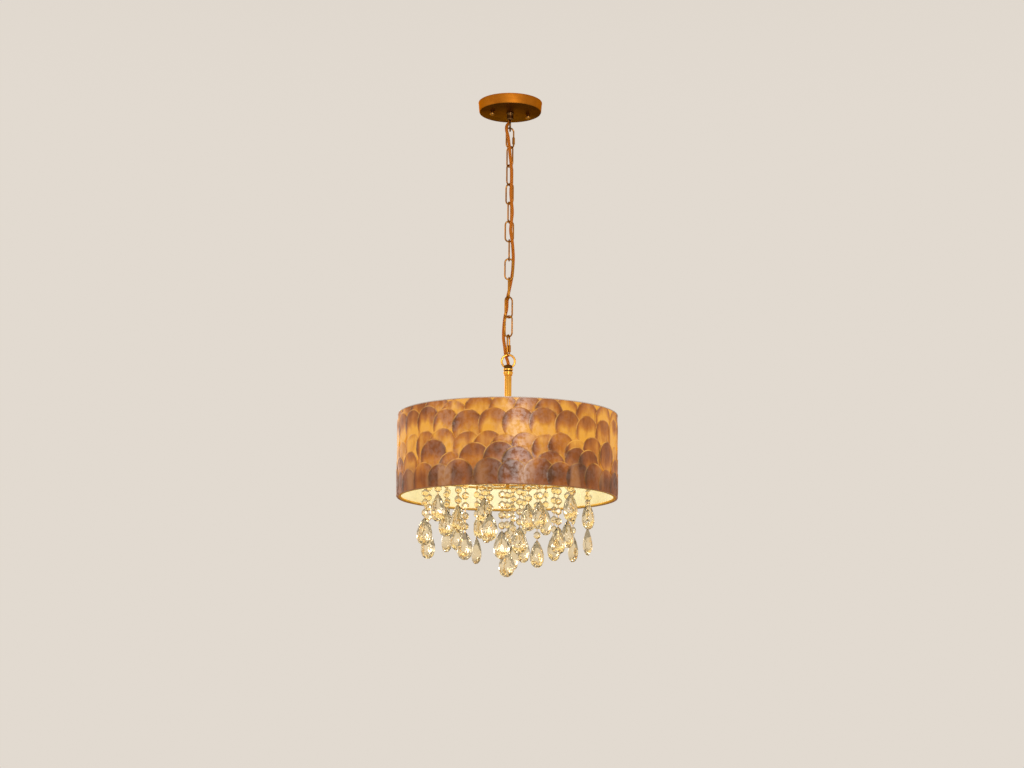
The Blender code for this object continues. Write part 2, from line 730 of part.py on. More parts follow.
def make_crystal_frame():
    frame = baked(hub("crystal_frame", FRAME_HUB_RADIUS, FRAME_HUB_TOP, FRAME_HUB_HEIGHT))
    start = (STEM_HOLE_RADIUS + FRAME_HUB_RADIUS) / 2
    pieces = []
    for i in range(FRAME_SPOKES):
        angle = FRAME_SPOKE_TURN + 2 * math.pi * i / FRAME_SPOKES
        points = [around(r, angle, FRAME_DROP) for r in (start, OUTER_RING_RADIUS)]
        spoke = wire(f"frame_spoke_{i + 1}", points, FRAME_WIRE_RADIUS, 1, False, TOOLS)
        pieces.append(baked(spoke))
    for label, radius, start, counts in STRAND_RINGS:
        points = ring_points(radius, FRAME_DROP, RING_STEPS_PER_HOOK * len(counts), start)
        name = f"frame_ring_{label}"
        ring = wire(name, points, FRAME_WIRE_RADIUS, 1, True, TOOLS)
        pieces.append(baked(ring))
    combine(frame, pieces, "UNION")
    give_finish(smooth(frame), BRASS)


def make_finial():
    """The end cap on the stem, with an eye for the centre strand."""
    bottom = FINIAL_TOP + FINIAL_HEIGHT
    bore = FINIAL_TOP + FINIAL_BORE_DEPTH
    outline = [
        (0, -bore),
        (STEM_HOLE_RADIUS, -bore),
        (STEM_HOLE_RADIUS, -FINIAL_TOP),
        (FINIAL_RADIUS, -FINIAL_TOP),
        (FINIAL_RADIUS, -bore),
        (FINIAL_FOOT_RADIUS, -bottom),
        (0, -bottom),
    ]
    finial = baked(turned("frame_finial", outline, STEM_STEPS))
    points = []
    for i in range(12):
        angle = 2 * math.pi * i / 12
        x = EYE_RADIUS * math.sin(angle)
        points.append((x, 0, -EYE_DROP + EYE_RADIUS * math.cos(angle)))
    eye = wire("finial_eye", points, EYE_WIRE_RADIUS, 1, True, TOOLS)
    combine(finial, [baked(eye)], "UNION")
    give_finish(smooth(finial), BRASS)


def strand_outline(beads):
    """The beads and the drop from the top, as (radius, z), with thin necks between."""
    outline = [(0, -STRAND_TOP + OVERRUN / 2), (NECK_RADIUS, -STRAND_TOP)]
    for i in range(beads):
        middle = -STRAND_TOP - BEAD_PITCH * (i + 0.5)
        outline += [
            (BEAD_RADIUS, middle + BEAD_FLAT / 2),
            (BEAD_RADIUS, middle - BEAD_FLAT / 2),
            (NECK_RADIUS, middle - BEAD_PITCH / 2),
        ]
    top = -STRAND_TOP - BEAD_PITCH * beads
    for radius_share, length_share in DROP_SHARES:
        outline.append((DROP_RADIUS * radius_share, top - DROP_LENGTH * length_share))
    outline.append((0, top - DROP_LENGTH))
    return outline


def strand_unit(name, wire_radius, beads, place):
    """A column of crystals with its hook over a wire, which is at the origin along X."""
    column = baked(turned(name, strand_outline(beads), CRYSTAL_SIDES, TOOLS))
    column.data.transform(Matrix.Diagonal((1, CRYSTAL_DEPTH_SHARE, 1, 1)))
    points = []
    for i in range(HOOK_STEPS):
        angle = 2 * math.pi * i / HOOK_STEPS
        y = HOOK_RADIUS * math.sin(angle)
        z = HOOK_RADIUS * math.cos(angle) - hook_drop(wire_radius)
        points.append((0, y, z))
    hook = baked(wire(name + "_hook", points, HOOK_WIRE_RADIUS, 0, True, TOOLS))
    unit = baked(combine(column, [hook], "UNION"), seams=False)
    bpy.data.objects.remove(hook)
    unit.data.transform(place)
    return unit


def hook_drop(wire_radius):
    """How far a hook's middle lies below the middle of the wire that it hangs on."""
    return HOOK_RADIUS - HOOK_WIRE_RADIUS - wire_radius - HOOK_SEAT_GAP


def strand_mesh(name, wire_radius, columns, radius=0.0):
    """One strand, or a pair that hangs from a ring of that radius, joined by a tie."""
    units = []
    for i, (turn, beads) in enumerate(columns):
        place = Matrix.Rotation(turn, 4, "Z")
        if len(columns) > 1:
            place = Matrix.Translation((radius * math.sin(turn), 0, 0)) @ place
        units.append(strand_unit(f"{name}_{i + 1}", wire_radius, beads, place))
    if len(columns) > 1:
        half = radius * math.sin(columns[1][0])
        drop = hook_drop(wire_radius) + HOOK_RADIUS
        ends = [(-half, 0, -drop), (half, 0, -drop)]
        units.insert(0, baked(wire(name + "_tie", ends, TIE_RADIUS, 0, False, TOOLS)))
    made = units[0]
    for unit in units[1:]:
        made = baked(combine(made, [unit], "UNION"), seams=False)
        bpy.data.objects.remove(unit)
    mesh = made.data
    bpy.data.objects.remove(made)
    return mesh


STRAND_MESHES = {}


def hang(name, wire_radius, columns, origin, turn, radius=0.0):
    """A strand or a pair at its hinge, its back to the middle. Like ones share a mesh."""
    key = (wire_radius, tuple(columns), radius)
    if key not in STRAND_MESHES:
        STRAND_MESHES[key] = strand_mesh(name, wire_radius, columns, radius)
    strand = add_object(name, STRAND_MESHES[key])
    strand.location = origin
    strand.rotation_euler.z = turn
    if not strand.data.materials:
        give_finish(strand, CRYSTAL)


def make_strands():
    for label, ring, start, counts in STRAND_RINGS:
        spacing = 2 * math.pi / len(counts)
        paired = label != "outer"
        singles = range(len(counts))
        if paired:
            singles = range(len(counts) // 2 * 2, len(counts))
            for i in range(0, len(counts) - 1, 2):
                angle = start + spacing * (i + 0.5)
                place = around(ring * math.cos(spacing / 2), angle, FRAME_DROP)
                columns = [(-spacing / 2, counts[i]), (spacing / 2, counts[i + 1])]
                name = f"{label}_strand_pair_{i // 2 + 1}"
                hang(name, FRAME_WIRE_RADIUS, columns, place, angle, ring)
        for i in singles:
            angle = start + spacing * i
            place = around(ring, angle, FRAME_DROP)
            name = f"{label}_strand_single" if paired else f"{label}_strand_{i + 1:02d}"
            hang(name, FRAME_WIRE_RADIUS, [(0.0, counts[i])], place, angle)
    place = below(EYE_DROP + EYE_RADIUS)
    hang("centre_strand", EYE_WIRE_RADIUS, [(0.0, CENTRE_BEADS)], place, 0.0)


def hang_fixture(pieces):
    """Parents the stem and what it carries to an empty on the last link's hinge."""
    hinge = add_object("fixture_hinge", None)
    hinge.location = below(LAST_LINK_BOTTOM)
    bpy.context.view_layer.update()
    for obj in pieces:
        obj.parent = hinge
        obj.matrix_parent_inverse = hinge.matrix_world.inverted()


make_bracket()
make_canopy()
make_canopy_screws()
make_nipple()
make_canopy_loop()
make_chain()
make_sleeves()
make_cord()
ABOVE_THE_FIXTURE = set(PARTS.objects)
make_stem_loop()
make_stem()
make_spider()
make_shade()
make_cluster()
make_lamps()
make_crystal_frame()
make_finial()
make_strands()
hang_fixture(set(PARTS.objects) - ABOVE_THE_FIXTURE)
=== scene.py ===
"""Looks of the drum chandelier: shell discs, gold wires, a woven cord and cut crystal.

Metres, +Z up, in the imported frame: the origin is on the ceiling, at the canopy's middle.
"""

import json
import math
import random

import bmesh
import bpy
from mathutils import Matrix, Vector


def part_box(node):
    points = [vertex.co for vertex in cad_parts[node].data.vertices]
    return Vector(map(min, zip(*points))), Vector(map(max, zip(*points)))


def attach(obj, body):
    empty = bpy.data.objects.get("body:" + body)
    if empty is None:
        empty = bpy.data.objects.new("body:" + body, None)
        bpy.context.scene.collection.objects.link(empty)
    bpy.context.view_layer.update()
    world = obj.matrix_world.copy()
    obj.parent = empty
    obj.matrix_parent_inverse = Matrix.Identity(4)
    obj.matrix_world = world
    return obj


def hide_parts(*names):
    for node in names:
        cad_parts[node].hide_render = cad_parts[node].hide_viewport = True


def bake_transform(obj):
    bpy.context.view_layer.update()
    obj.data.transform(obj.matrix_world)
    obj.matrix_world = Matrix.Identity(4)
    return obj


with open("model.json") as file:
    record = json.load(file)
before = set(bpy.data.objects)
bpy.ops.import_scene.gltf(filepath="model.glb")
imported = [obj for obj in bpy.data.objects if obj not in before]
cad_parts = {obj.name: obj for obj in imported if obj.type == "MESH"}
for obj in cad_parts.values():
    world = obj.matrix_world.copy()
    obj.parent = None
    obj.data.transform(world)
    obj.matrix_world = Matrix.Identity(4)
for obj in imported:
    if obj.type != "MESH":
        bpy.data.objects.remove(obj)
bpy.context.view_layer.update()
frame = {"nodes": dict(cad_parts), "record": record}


def heights_of(node):
    """Heights of a CAD node's foot and top."""
    low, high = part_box(node)
    return low.z, high.z


MM = 0.001
MERGE = 0.00001
GAP = 0.0003
HARD_EDGE = math.radians(35)
SMOOTH_EDGE = math.radians(38)

# ---------------------------------------------------------------------------
# Sizes that the solids have too
# ---------------------------------------------------------------------------

SHADE_FOOT, SHADE_CROWN = heights_of("shade_shell")
SHADE_HEIGHT = SHADE_CROWN - SHADE_FOOT
CANOPY_FACE = heights_of("canopy")[0]
CANOPY_RADIUS = 0.0600
SHADE_RADIUS = 0.200
SHADE_RING_RADIUS = 0.1944
SHADE_WIRE_RADIUS = 0.002
LINER_INSET = 0.0008
LINKS = [f"chain_link_{k + 1:02d}" for k in range(12)]
LINK_TURNS = [math.radians(a) for a in (25, -45, 45, -30, 70, 0, 90, 5, 95, 30, -30, 75)]
LINK_WIRE_RADIUS = 0.0015
LINK_BOW_RADIUS = 0.0075
LINK_LENGTH = 0.0395
QUICK_GAP = 0.004
QUICK_GAP_DROP = 0.0045
SLEEVE_RADIUS = 0.0027
SLEEVE_CORNER_RADIUS = SLEEVE_RADIUS * 1.06
SLEEVE_END_RADIUS = SLEEVE_CORNER_RADIUS * 0.84
SLEEVE_CHAMFER = 0.0007
HORSESHOE_RADIUS = 0.0121
HORSESHOE_WIRE_RADIUS = 0.0019
HORSESHOE_SWEEP = math.radians(290)
COLLAR_DROP = 0.0193
COLLAR_NECK = 0.0071
STEM_RADIUS = 0.00625
STEM_HOLE_RADIUS = 0.00655
STEM_BORE_RADIUS = 0.0045
CORD_RADIUS = 0.003
CORD_HOLE_RADIUS = 0.0035
CORD_SIDES = 14
CORD_STEPS = 10
WEAVE_TURNS_PER_METRE = 220
WEAVE_STARTS = 4
SPIDER_HUB_RADIUS = 0.015
SPIDER_HUB_HALF = 0.0015
SPIDER_ARMS = 3
SPIDER_ARM_START = 0.0108
SPIDER_ARM_WIDTH = 0.010
SPIDER_ARM_THICKNESS = 0.002
CLUSTER_ARM_START = 0.0132
CLUSTER_ARM_RADIUS = 0.004
FRAME_HEIGHT = SHADE_FOOT + 0.038
FRAME_WIRE_RADIUS = 0.002
FRAME_HUB_RADIUS = 0.018
FRAME_HUB_HALF = 0.0035
FRAME_SPOKE_START = 0.0123
OUTER_RING_RADIUS = 0.150
MIDDLE_RING_RADIUS = 0.110
INNER_RING_RADIUS = 0.055
LAMP_COUNT = 3
LAMP_TURN = math.radians(60)
LAMP_RING_RADIUS = 0.075
LAMP_ANGLES = [LAMP_TURN + 2 * math.pi * i / LAMP_COUNT for i in range(LAMP_COUNT)]
SCREW_SPACING = 0.070
SCREW_TURN = math.radians(16)
KNOB_RADIUS = 0.0046
KNOB_DROP = 0.0042
KNOB_SHOULDER = math.radians(38)
LOOP_COLLAR_HEIGHT = 0.0142
LOOP_RING_RADIUS = 0.01025
LOOP_WIRE_RADIUS = 0.00175
SOCKET_RADIUS = 0.0130
SOCKET_GROOVE_RADIUS = 0.0124
SOCKET_RIBS = 5
SOCKET_RIB_PITCH = 0.0030
SOCKET_BORE_RADIUS = 0.0075
SOCKET_FLOOR = 0.008
BULB_RADIUS = 0.0225
BULB_NECK_RADIUS = 0.0070
HOOK_RADIUS = 0.0038
HOOK_WIRE_RADIUS = 0.0008
HOOK_SEAT_GAP = 0.0004
EYE_RADIUS = 0.0032
EYE_WIRE_RADIUS = 0.0011
STRAND_TOP = 0.005
BEAD_PITCH = 0.018
DROP_LENGTH = 0.050
# Name of the ring, its radius, where its first strand hangs, and each strand's beads
STRAND_RINGS = [
    ("outer", OUTER_RING_RADIUS, math.radians(22.5), [3, 2, 5, 2, 5, 2, 3, 5, 4, 5, 4, 2, 6, 6]),
    ("middle", MIDDLE_RING_RADIUS, math.radians(20), [3, 5, 4, 5, 5, 3, 4, 3, 3, 4]),
    ("inner", INNER_RING_RADIUS, math.radians(24), [5, 6, 6, 3, 2]),
]
CENTRE_BEADS = 6
# Route of the cord, in millimetres
CORD_ROUTE = [
    (0, 0, -3), (0, 0, -18), (0, 0, -32), (-1.6, -0.6, -38), (-6.0, -4.2, -45.5),
    (-6.6, -8.8, -55), (-3.4, -9.2, -70), (-1.2, -9.4, -88), (0.5, -10.3, -106),
    (2.6, -11.6, -124), (3.4, -12, -142), (3.2, -11.6, -160), (2.4, -10.4, -178.5),
    (3.8, -10.0, -196), (5.4, -10.0, -215), (3.8, -10.6, -233), (2.6, -8.8, -251),
    (5.2, -8.6, -268), (6.8, -2.6, -282), (7.8, 4.6, -297), (7.4, 7.4, -312),
    (6.2, 8.4, -329), (3.4, 12.6, -345), (0.4, 13.6, -360), (-2.8, 12.2, -377),
    (-3.6, 7.4, -395), (-7.0, 10.0, -412), (-8.8, 10.0, -432), (-9.0, 8.2, -452),
    (-6.8, 3.0, -468), (-5.6, 4.4, -479), (-3.6, 6.2, -487.5), (-1.0, 2.2, -496),
    (0, 0, -502.5), (0, 0, -520), (0, 0, -600), (0, 0, -690),
]

# ---------------------------------------------------------------------------
# Sizes of the looks
# ---------------------------------------------------------------------------

# Shell discs in front, row by row from the top: angle from the front in degrees, then the
# height of the middle above the shade's foot and the diameter in millimetres
FRONT_DISCS = [
    [(-60, 159, 58), (-46, 156, 58), (-33, 161, 58), (-21, 157, 56), (-8, 161, 56), (5, 159, 56),
     (16, 156, 56), (26, 162, 56), (38, 157, 58), (52, 159, 58), (66, 158, 58)],
    [(-64, 136, 58), (-51.5, 136, 59), (-38.9, 134, 58), (-28.4, 120, 58), (-14.2, 130, 56),
     (-1.9, 128, 54), (10.7, 128, 56), (30.8, 128, 56), (20.9, 127, 54), (44.7, 127, 58),
     (58.7, 126, 58)],
    [(-69.8, 117, 56), (-57.1, 116, 56), (-44.4, 117, 56), (-32.7, 108, 56), (-20.5, 103, 58),
     (-6.8, 105, 56), (5.5, 105, 58), (18.6, 108, 57), (31.7, 107, 54), (44.7, 100, 58),
     (58.6, 100, 58), (71.7, 108, 56)],
    [(-70.2, 66, 54), (-57.1, 73, 54), (-45.7, 74, 54), (-34.8, 72, 59), (-20.3, 67, 54),
     (-9.6, 66, 54), (-1.2, 60, 54), (9.3, 63, 56), (19.5, 62, 54), (28, 67, 54), (37.6, 56, 56),
     (48.6, 65, 56), (61, 62, 56), (74.8, 60, 56)],
    [(-74.1, 40, 54), (-59.8, 43, 54), (-40.4, 54, 62), (-29.3, 32, 54), (-16.6, 44, 59),
     (-3.7, 46, 58), (5, 38, 56), (22.2, 32, 58), (37.4, 43, 56), (45.5, 42, 54), (61.9, 63, 56),
     (74.7, 37, 56)],
    [(-71.9, 11, 56), (-61.2, 12, 56), (-47, 17, 58), (-36.3, 13, 54), (-25.1, 18, 57),
     (-8.7, 18, 57), (2.9, 16, 54), (16.1, 18, 59), (27.5, 16, 54), (38.6, 16, 56), (49.8, 20, 54),
     (61, 13, 54), (73, 13, 58)],
]
DISC_PITCH = math.radians(12.2)
DISC_DIAMETER = 0.056
DISC_SEED = 11
DISC_SHIFT_ROUND = math.radians(2)
DISC_SHIFT_UP = 0.006
DISC_SIZE_VARIATION = 0.07
DISC_CORNERS = 36
DISC_FACE_REACH = 0.985
DISC_RINGS = 9
DISC_THICKNESS = 0.0003
DISC_STEP = 0.00036
DISC_LEAN_OUT = math.radians(1.2)
DISC_LEAN_ASIDE = math.radians(0.7)
DISC_STAND_OFF = 0.0008
SOFT_SHADOW = 0.016
LIGHT_KEPT_SHARE = 0.58
SHEET_RADIUS = 0.1985
SHEET_CLEARANCE = 0.0001
SHEET_INSET = 0.0004
RIM_WIDTH = 0.0019
RIM_HEIGHT = 0.0015
TOP_RIM_OUT = 0.0009

# Cut stones
BEAD_RADIUS = 0.0070
BEAD_SIDES = 8
BEAD_CUTS = [(1.0, 0.00055), (0.80, 0.0024), (0.48, 0.0036)]
DROP_GIRTH = 0.0175
DROP_SIDES = 14
DROP_CUTS = [(1.0, 0.0006), (0.80, 0.0034), (0.54, 0.0060), (0.27, 0.0078)]
DROP_BELLY = 0.62
DROP_FULLNESS = 0.65
PIN_WIRE_RADIUS = 0.00035
PIN_HALF_WIDTH = 0.0009
PIN_HALF_LENGTH = 0.0036
TIE_RADIUS = 0.0006
STONE_TWIST = math.radians(15)
# How much of its place round the ring a stone turns by: they swing free, mostly to the front
STONE_TURN_SHARE = 0.25
# Strands whose stones turn with the ring instead
SIDEWAYS_STRANDS = ("outer_strand_03", "outer_strand_05")
FIRST_STRAND_SEED = 40


# ---------------------------------------------------------------------------
# Node trees
# ---------------------------------------------------------------------------


class Result:
    """A node's output that plain sums can be written with."""

    def __init__(self, graph, socket):
        self.graph = graph
        self.socket = socket

    def maths(self, operation, *others):
        """A Math node on this value and others."""
        values = dict(enumerate((self, *others)))
        return self.graph.add("ShaderNodeMath", {"operation": operation}, values)

    def __add__(self, other):
        return self.maths("ADD", other)

    def __sub__(self, other):
        return self.maths("SUBTRACT", other)

    def __mul__(self, other):
        return self.maths("MULTIPLY", other)

    def __pow__(self, other):
        return self.maths("POWER", other)

    def __rsub__(self, other):
        return self * -1.0 + other

    __radd__ = __add__
    __rmul__ = __mul__


class Graph:
    """Adds nodes to one tree and joins them."""

    def __init__(self, tree):
        self.tree = tree

    def add(self, kind, settings=None, values=None, result=0):
        """A node of a type, with its settings and its sockets' values, as one of its results."""
        node = self.tree.nodes.new(kind)
        for name, setting in (settings or {}).items():
            if name == "stops":
                self.set_stops(node.color_ramp, setting)
            else:
                setattr(node, name, setting)
        for key, value in (values or {}).items():
            self.feed(node.inputs[key], value)
        return Result(self, node.outputs[result])

    def set_stops(self, ramp, stops):
        """The places and colours of a colour ramp."""
        while len(ramp.elements) < len(stops):
            ramp.elements.new(1.0)
        for element, (place, colour) in zip(ramp.elements, stops, strict=True):
            element.position = place
            element.color = (*colour, 1)

    def feed(self, socket, value):
        """Joins a result to a socket, or sets a plain value on it."""
        if isinstance(value, Result):
            self.tree.links.new(value.socket, socket)
        else:
            socket.default_value = value

    def parts(self, vector):
        """The three numbers of a vector."""
        split = self.add("ShaderNodeSeparateXYZ", values={0: vector})
        return [Result(self, out) for out in split.socket.node.outputs]

    def range(self, value, low, high, to_low=0.0, to_high=1.0):
        """The value carried smoothly from one range to another, and held there."""
        settings = {"interpolation_type": "SMOOTHSTEP"}
        values = dict(enumerate((value, low, high, to_low, to_high)))
        return self.add("ShaderNodeMapRange", settings, values)

    def blend(self, share, first, second):
        """Two colours mixed by a share."""
        settings = {"data_type": "RGBA"}
        values = {0: share, 6: self.colour(first), 7: self.colour(second)}
        return self.add("ShaderNodeMix", settings, values, result=2)

    def colour(self, value):
        """A colour as a node's result."""
        if isinstance(value, tuple):
            node = self.add("ShaderNodeRGB")
            node.socket.default_value = (*value, 1)
            return node
        return value


class Look(Graph):
    """One material, with a Principled shader that takes its values."""

    def __init__(self, name, **fixed):
        self.material = bpy.data.materials.new(name)
        self.material.use_nodes = True
        super().__init__(self.material.node_tree)
        self.shader = self.tree.nodes["Principled BSDF"]
        for key, value in fixed.items():
            self.give(key.replace("_", " ").title().replace("Ior", "IOR"), value)

    def give(self, name, value):
        """Sets or joins a socket of the shader."""
        if isinstance(value, tuple) and len(value) == 3:
            value = (*value, 1)
        self.feed(self.shader.inputs[name], value)

    def place(self):
        """Where the point is on the piece, which is at rest in the frame."""
        return self.add("ShaderNodeTexCoord", result=3)

    def stretched(self, scale):
        """The point, with each direction scaled."""
        values = {0: self.place(), 1: scale}
        return self.add("ShaderNodeVectorMath", {"operation": "MULTIPLY"}, values)

    def attribute(self, name, result=2):
        """A value stored on the mesh, as a number or, with result 1, as a vector."""
        settings = {"attribute_name": name}
        return self.add("ShaderNodeAttribute", settings, result=result)

    def noise(self, scale, detail, where=None, roughness=0.5):
        """Noise in space, from about 0.3 to 0.7."""
        values = {"Vector": where or self.place(), "Scale": scale}
        values |= {"Detail": detail, "Roughness": roughness}
        return self.add("ShaderNodeTexNoise", values=values)

    def ramp(self, share, stops):
        """A colour from a ramp of stops."""
        return self.add("ShaderNodeValToRGB", {"stops": stops}, {0: share})

    def bump(self, height, distance, strength):
        """A normal tilted by a height map, distance being its depth in metres."""
        values = {"Height": height, "Distance": distance, "Strength": strength}
        return self.add("ShaderNodeBump", values=values)


# ---------------------------------------------------------------------------
# Finishes
# ---------------------------------------------------------------------------


# What a brass surface mirrors at a slant, where plain metal would turn white
BRASS_EDGE = (0.88, 0.52, 0.18)
# Dark bronze used as painted shade
PAINTED_SHADE_BRONZE = (0.085, 0.028, 0.006)
# How closely the brushing lies along X, Y and Z
COARSE = (60, 60, 60)
FINE = (30, 30, 30)
DRAWN = (30, 30, 12)
# Colour, darker patches, roughness, brushing and its depth
STEM_FINISH = ((0.98, 0.50, 0.085), (0.80, 0.37, 0.055), 0.20, DRAWN, 0.000006)
# Bands of painted shade on the stem loop's collar, down from its top, and how they fade
NECK_REACH = 0.0079
GROOVE_TOP = 0.0099
GROOVE_FOOT = 0.0128
PAINTED_SHADE_FADE = 0.0004
PAINTED_SHADE_SHARE = 0.92


def collar_painted_shade(look):
    """Share of painted shade, in dark bronze, on the stem loop: on the collar's neck and in its
    groove.
    """
    x, y, z = look.parts(look.place())
    reach = (x * x + y * y) ** 0.5
    top = heights_of("stem_loop")[1] - HORSESHOE_WIRE_RADIUS - COLLAR_DROP
    below = top - z
    neck = look.range(below, PAINTED_SHADE_FADE / 2, PAINTED_SHADE_FADE * 2)
    neck = neck * look.range(below, COLLAR_NECK - PAINTED_SHADE_FADE, COLLAR_NECK, 1.0, 0.0)
    neck = neck * look.range(reach, NECK_REACH, NECK_REACH + PAINTED_SHADE_FADE, 1.0, 0.0)
    groove = look.range(below, GROOVE_TOP, GROOVE_TOP + PAINTED_SHADE_FADE)
    groove = groove * look.range(below, GROOVE_FOOT - PAINTED_SHADE_FADE, GROOVE_FOOT, 1.0, 0.0)
    return (neck + groove) * PAINTED_SHADE_SHARE


def brass_look(name, colour, dark, roughness, brushing=COARSE, depth=0.00002, darkening=None):
    """Plated brass: brushed one way, a little darker in patches, worn unevenly."""
    look = Look(name, metallic=1.0, specular_tint=BRASS_EDGE)
    patches = look.range(look.noise(55.0, 3.0), 0.38, 0.66)
    lines = look.noise(9.0, 3.0, look.stretched(brushing), 0.65)
    tone = look.range(lines, 0.30, 0.70)
    plating = look.blend(patches * 0.55 + tone * 0.25, colour, dark)
    # painted shade: where a darkening is given, dark bronze is blended into the plating
    if darkening:
        plating = look.blend(darkening(look), plating, PAINTED_SHADE_BRONZE)
    look.give("Base Color", plating)
    look.give("Roughness", patches * 0.14 + tone * 0.08 + (roughness - 0.06))
    look.give("Normal", look.bump(lines, depth, 0.6))
    return look.material


def canopy_look():
    """Orange gold on the side, and on the face below a darker bronze brushed in rings: painted
    shade on the downward face, with a painted glow towards its middle.
    """
    look = Look("canopy_gold_and_bronze", metallic=1.0, specular_tint=BRASS_EDGE)
    x, y, _ = look.parts(look.place())
    reach = (x * x + y * y) ** 0.5
    face = look.range(reach, 0.0568, 0.0586, 1.0, 0.0)
    rings = look.add("ShaderNodeTexNoise", {"noise_dimensions": "1D"},
                     {"W": reach * 900.0, "Scale": 1.0, "Detail": 3.0})
    patches = look.range(look.noise(38.0, 3.0), 0.35, 0.68)
    # painted shade: the downward face is a darker bronze than the side
    bronze = look.blend(patches, (0.125, 0.050, 0.015), (0.085, 0.033, 0.009))
    # painted glow: the bronze brightens towards the middle of the face
    bronze = look.blend(look.range(reach, 0.010, 0.040, 0.5, 0.0), bronze, (0.30, 0.115, 0.020))
    gold = look.blend(patches * 0.6, (0.52, 0.175, 0.014), (0.42, 0.130, 0.009))
    ringed = look.blend(look.range(rings, 0.3, 0.7) * 0.35 * face, look.blend(face, gold, bronze),
                        (0.055, 0.021, 0.004))
    look.give("Base Color", ringed)
    look.give("Roughness", patches * 0.08 + face * -0.14 + 0.54)
    look.give("Normal", look.bump(rings * face, 0.00012, 1.0))
    return look.material


def cord_look():
    """Gold cover, woven in slanting strands round a twisted cord."""
    look = Look("woven_gold_cord", specular_ior_level=0.12, sheen_weight=0.25,
                sheen_tint=(1.0, 0.42, 0.10))
    u, v, _ = look.parts(look.add("ShaderNodeUVMap", {"uv_map": "weave"}))
    along = u * (2 * math.pi * WEAVE_TURNS_PER_METRE)
    aside = v * (2 * math.pi * WEAVE_STARTS)
    left = (along + aside).maths("SINE")
    right = (along - aside).maths("SINE")
    weave = look.range(left.maths("MAXIMUM", right), -0.2, 0.95)
    tone = look.noise(180.0, 3.0)
    thread = look.blend(tone, (0.72, 0.170, 0.007), (0.96, 0.31, 0.020))
    look.give("Base Color", look.blend(weave, (0.29, 0.060, 0.004), thread))
    look.give("Roughness", 0.66 - weave * 0.2)
    look.give("Normal", look.bump(weave, 0.00022, 0.7))
    return look.material


def shell_light(look, light, height):
    """Colour of the lamp light that comes through the shell, with its grain up and down."""
    streaks = look.noise(11.0, 3.0, look.stretched((7, 7, 2.4)), 0.5)
    grain = look.noise(70.0, 3.0, look.stretched((1.6, 1.6, 0.7)), 0.5)
    low = look.range(height, 0.014, 0.052, 0.42, 1.0) * look.range(height, 0.05, 0.12, 1.0, 1.2)
    glow = light * (0.50 + streaks * 0.70) * (0.82 + grain * 0.34) * low
    return look.ramp(glow, [
        (0.06, (0.008, 0.003, 0.001)),
        (0.22, (0.062, 0.015, 0.002)),
        (0.42, (0.20, 0.047, 0.004)),
        (0.66, (0.42, 0.130, 0.011)),
        (1.00, (0.76, 0.345, 0.034)),
    ])


def capiz_look():
    """Pearly shell: brown and mauve where it lies double, amber where the light passes."""
    look = Look("capiz_shell", coat_roughness=0.30, specular_ior_level=0.18,
                emission_strength=1.0)
    du, dv, tone = look.parts(look.attribute("disc_local", result=1))
    light = look.attribute("light")
    _, _, z = look.parts(look.place())
    height = z - SHADE_FOOT
    slant = look.add("ShaderNodeLayerWeight", values={"Blend": 0.5}, result=1)
    wavy = look.noise(42.0, 4.0, roughness=0.62)
    fine = look.noise(120.0, 4.0, roughness=0.6)
    upright = look.noise(60.0, 3.0, look.stretched((3.4, 3.4, 0.35)), 0.6)
    reach = (du * du + dv * dv) ** 0.5
    # the cut edge takes the light of the shell behind it, in places more than in others
    edge = look.range(reach, 0.90, 0.97) * look.range(dv, -0.70, 0.10)
    edge = edge * look.range(light, 0.22, 0.60, 0.10, 1.0) * look.range(wavy, 0.40, 0.60, 0.15, 1.0)
    mottled = look.range(wavy * 0.55 + fine * 0.1 + upright * 0.35, 0.38, 0.62)
    pearl = look.blend(mottled, (0.066, 0.028, 0.014), (0.146, 0.074, 0.041))
    # silvery patches: the nacre's own tone, and a painted sheen
    silver_and_sheen = look.range(look.noise(17.0, 3.0), 0.47, 0.62) * look.range(fine, 0.36, 0.62)
    pearl = look.blend(silver_and_sheen * 0.34, pearl, (0.30, 0.22, 0.20))
    pearl = look.blend(light * 0.7, pearl, (0.09, 0.030, 0.006))
    look.give("Base Color", pearl)
    look.give("Roughness", mottled * 0.18 + look.range(slant, 0.5, 0.95, 0.34, 0.55))
    coat = look.range(fine, 0.36, 0.60) * look.range(slant, 0.08, 0.40, 1.0, 0.2)
    look.give("Coat Weight", coat)
    # the shell is thickest at its middle, and lets the most light through low down
    thickness = look.range(reach, 0.10, 0.92, 0.82, 1.06) * look.range(dv, -0.35, 0.85, 1.12, 0.80)
    # its sides lie over its neighbours, where less light comes through
    sides = look.range((du * du) ** 0.5, 0.42, 0.94, 1.06, 0.56)
    glow = shell_light(look, light * thickness * sides * (0.84 + tone * 0.32), height)
    # low down, light leaks up between the shells in upright streaks
    leak = look.range(look.noise(22.0, 1.0, look.stretched((1.2, 1.2, 0.14))), 0.52, 0.62)
    leak = leak * look.range(height, 0.030, 0.048, 0.85, 0.0)
    glow = look.blend(leak, glow, (0.34, 0.140, 0.045))
    lit_edge = look.range(height, 0.014, 0.060, 0.15, 0.72)
    look.give("Emission Color", look.blend(edge * lit_edge, glow, (0.82, 0.40, 0.060)))
    height_map = wavy * 0.75 + fine * 0.20 + upright * 0.30
    look.give("Normal", look.bump(height_map, 0.0012, 0.7))
    return look.material


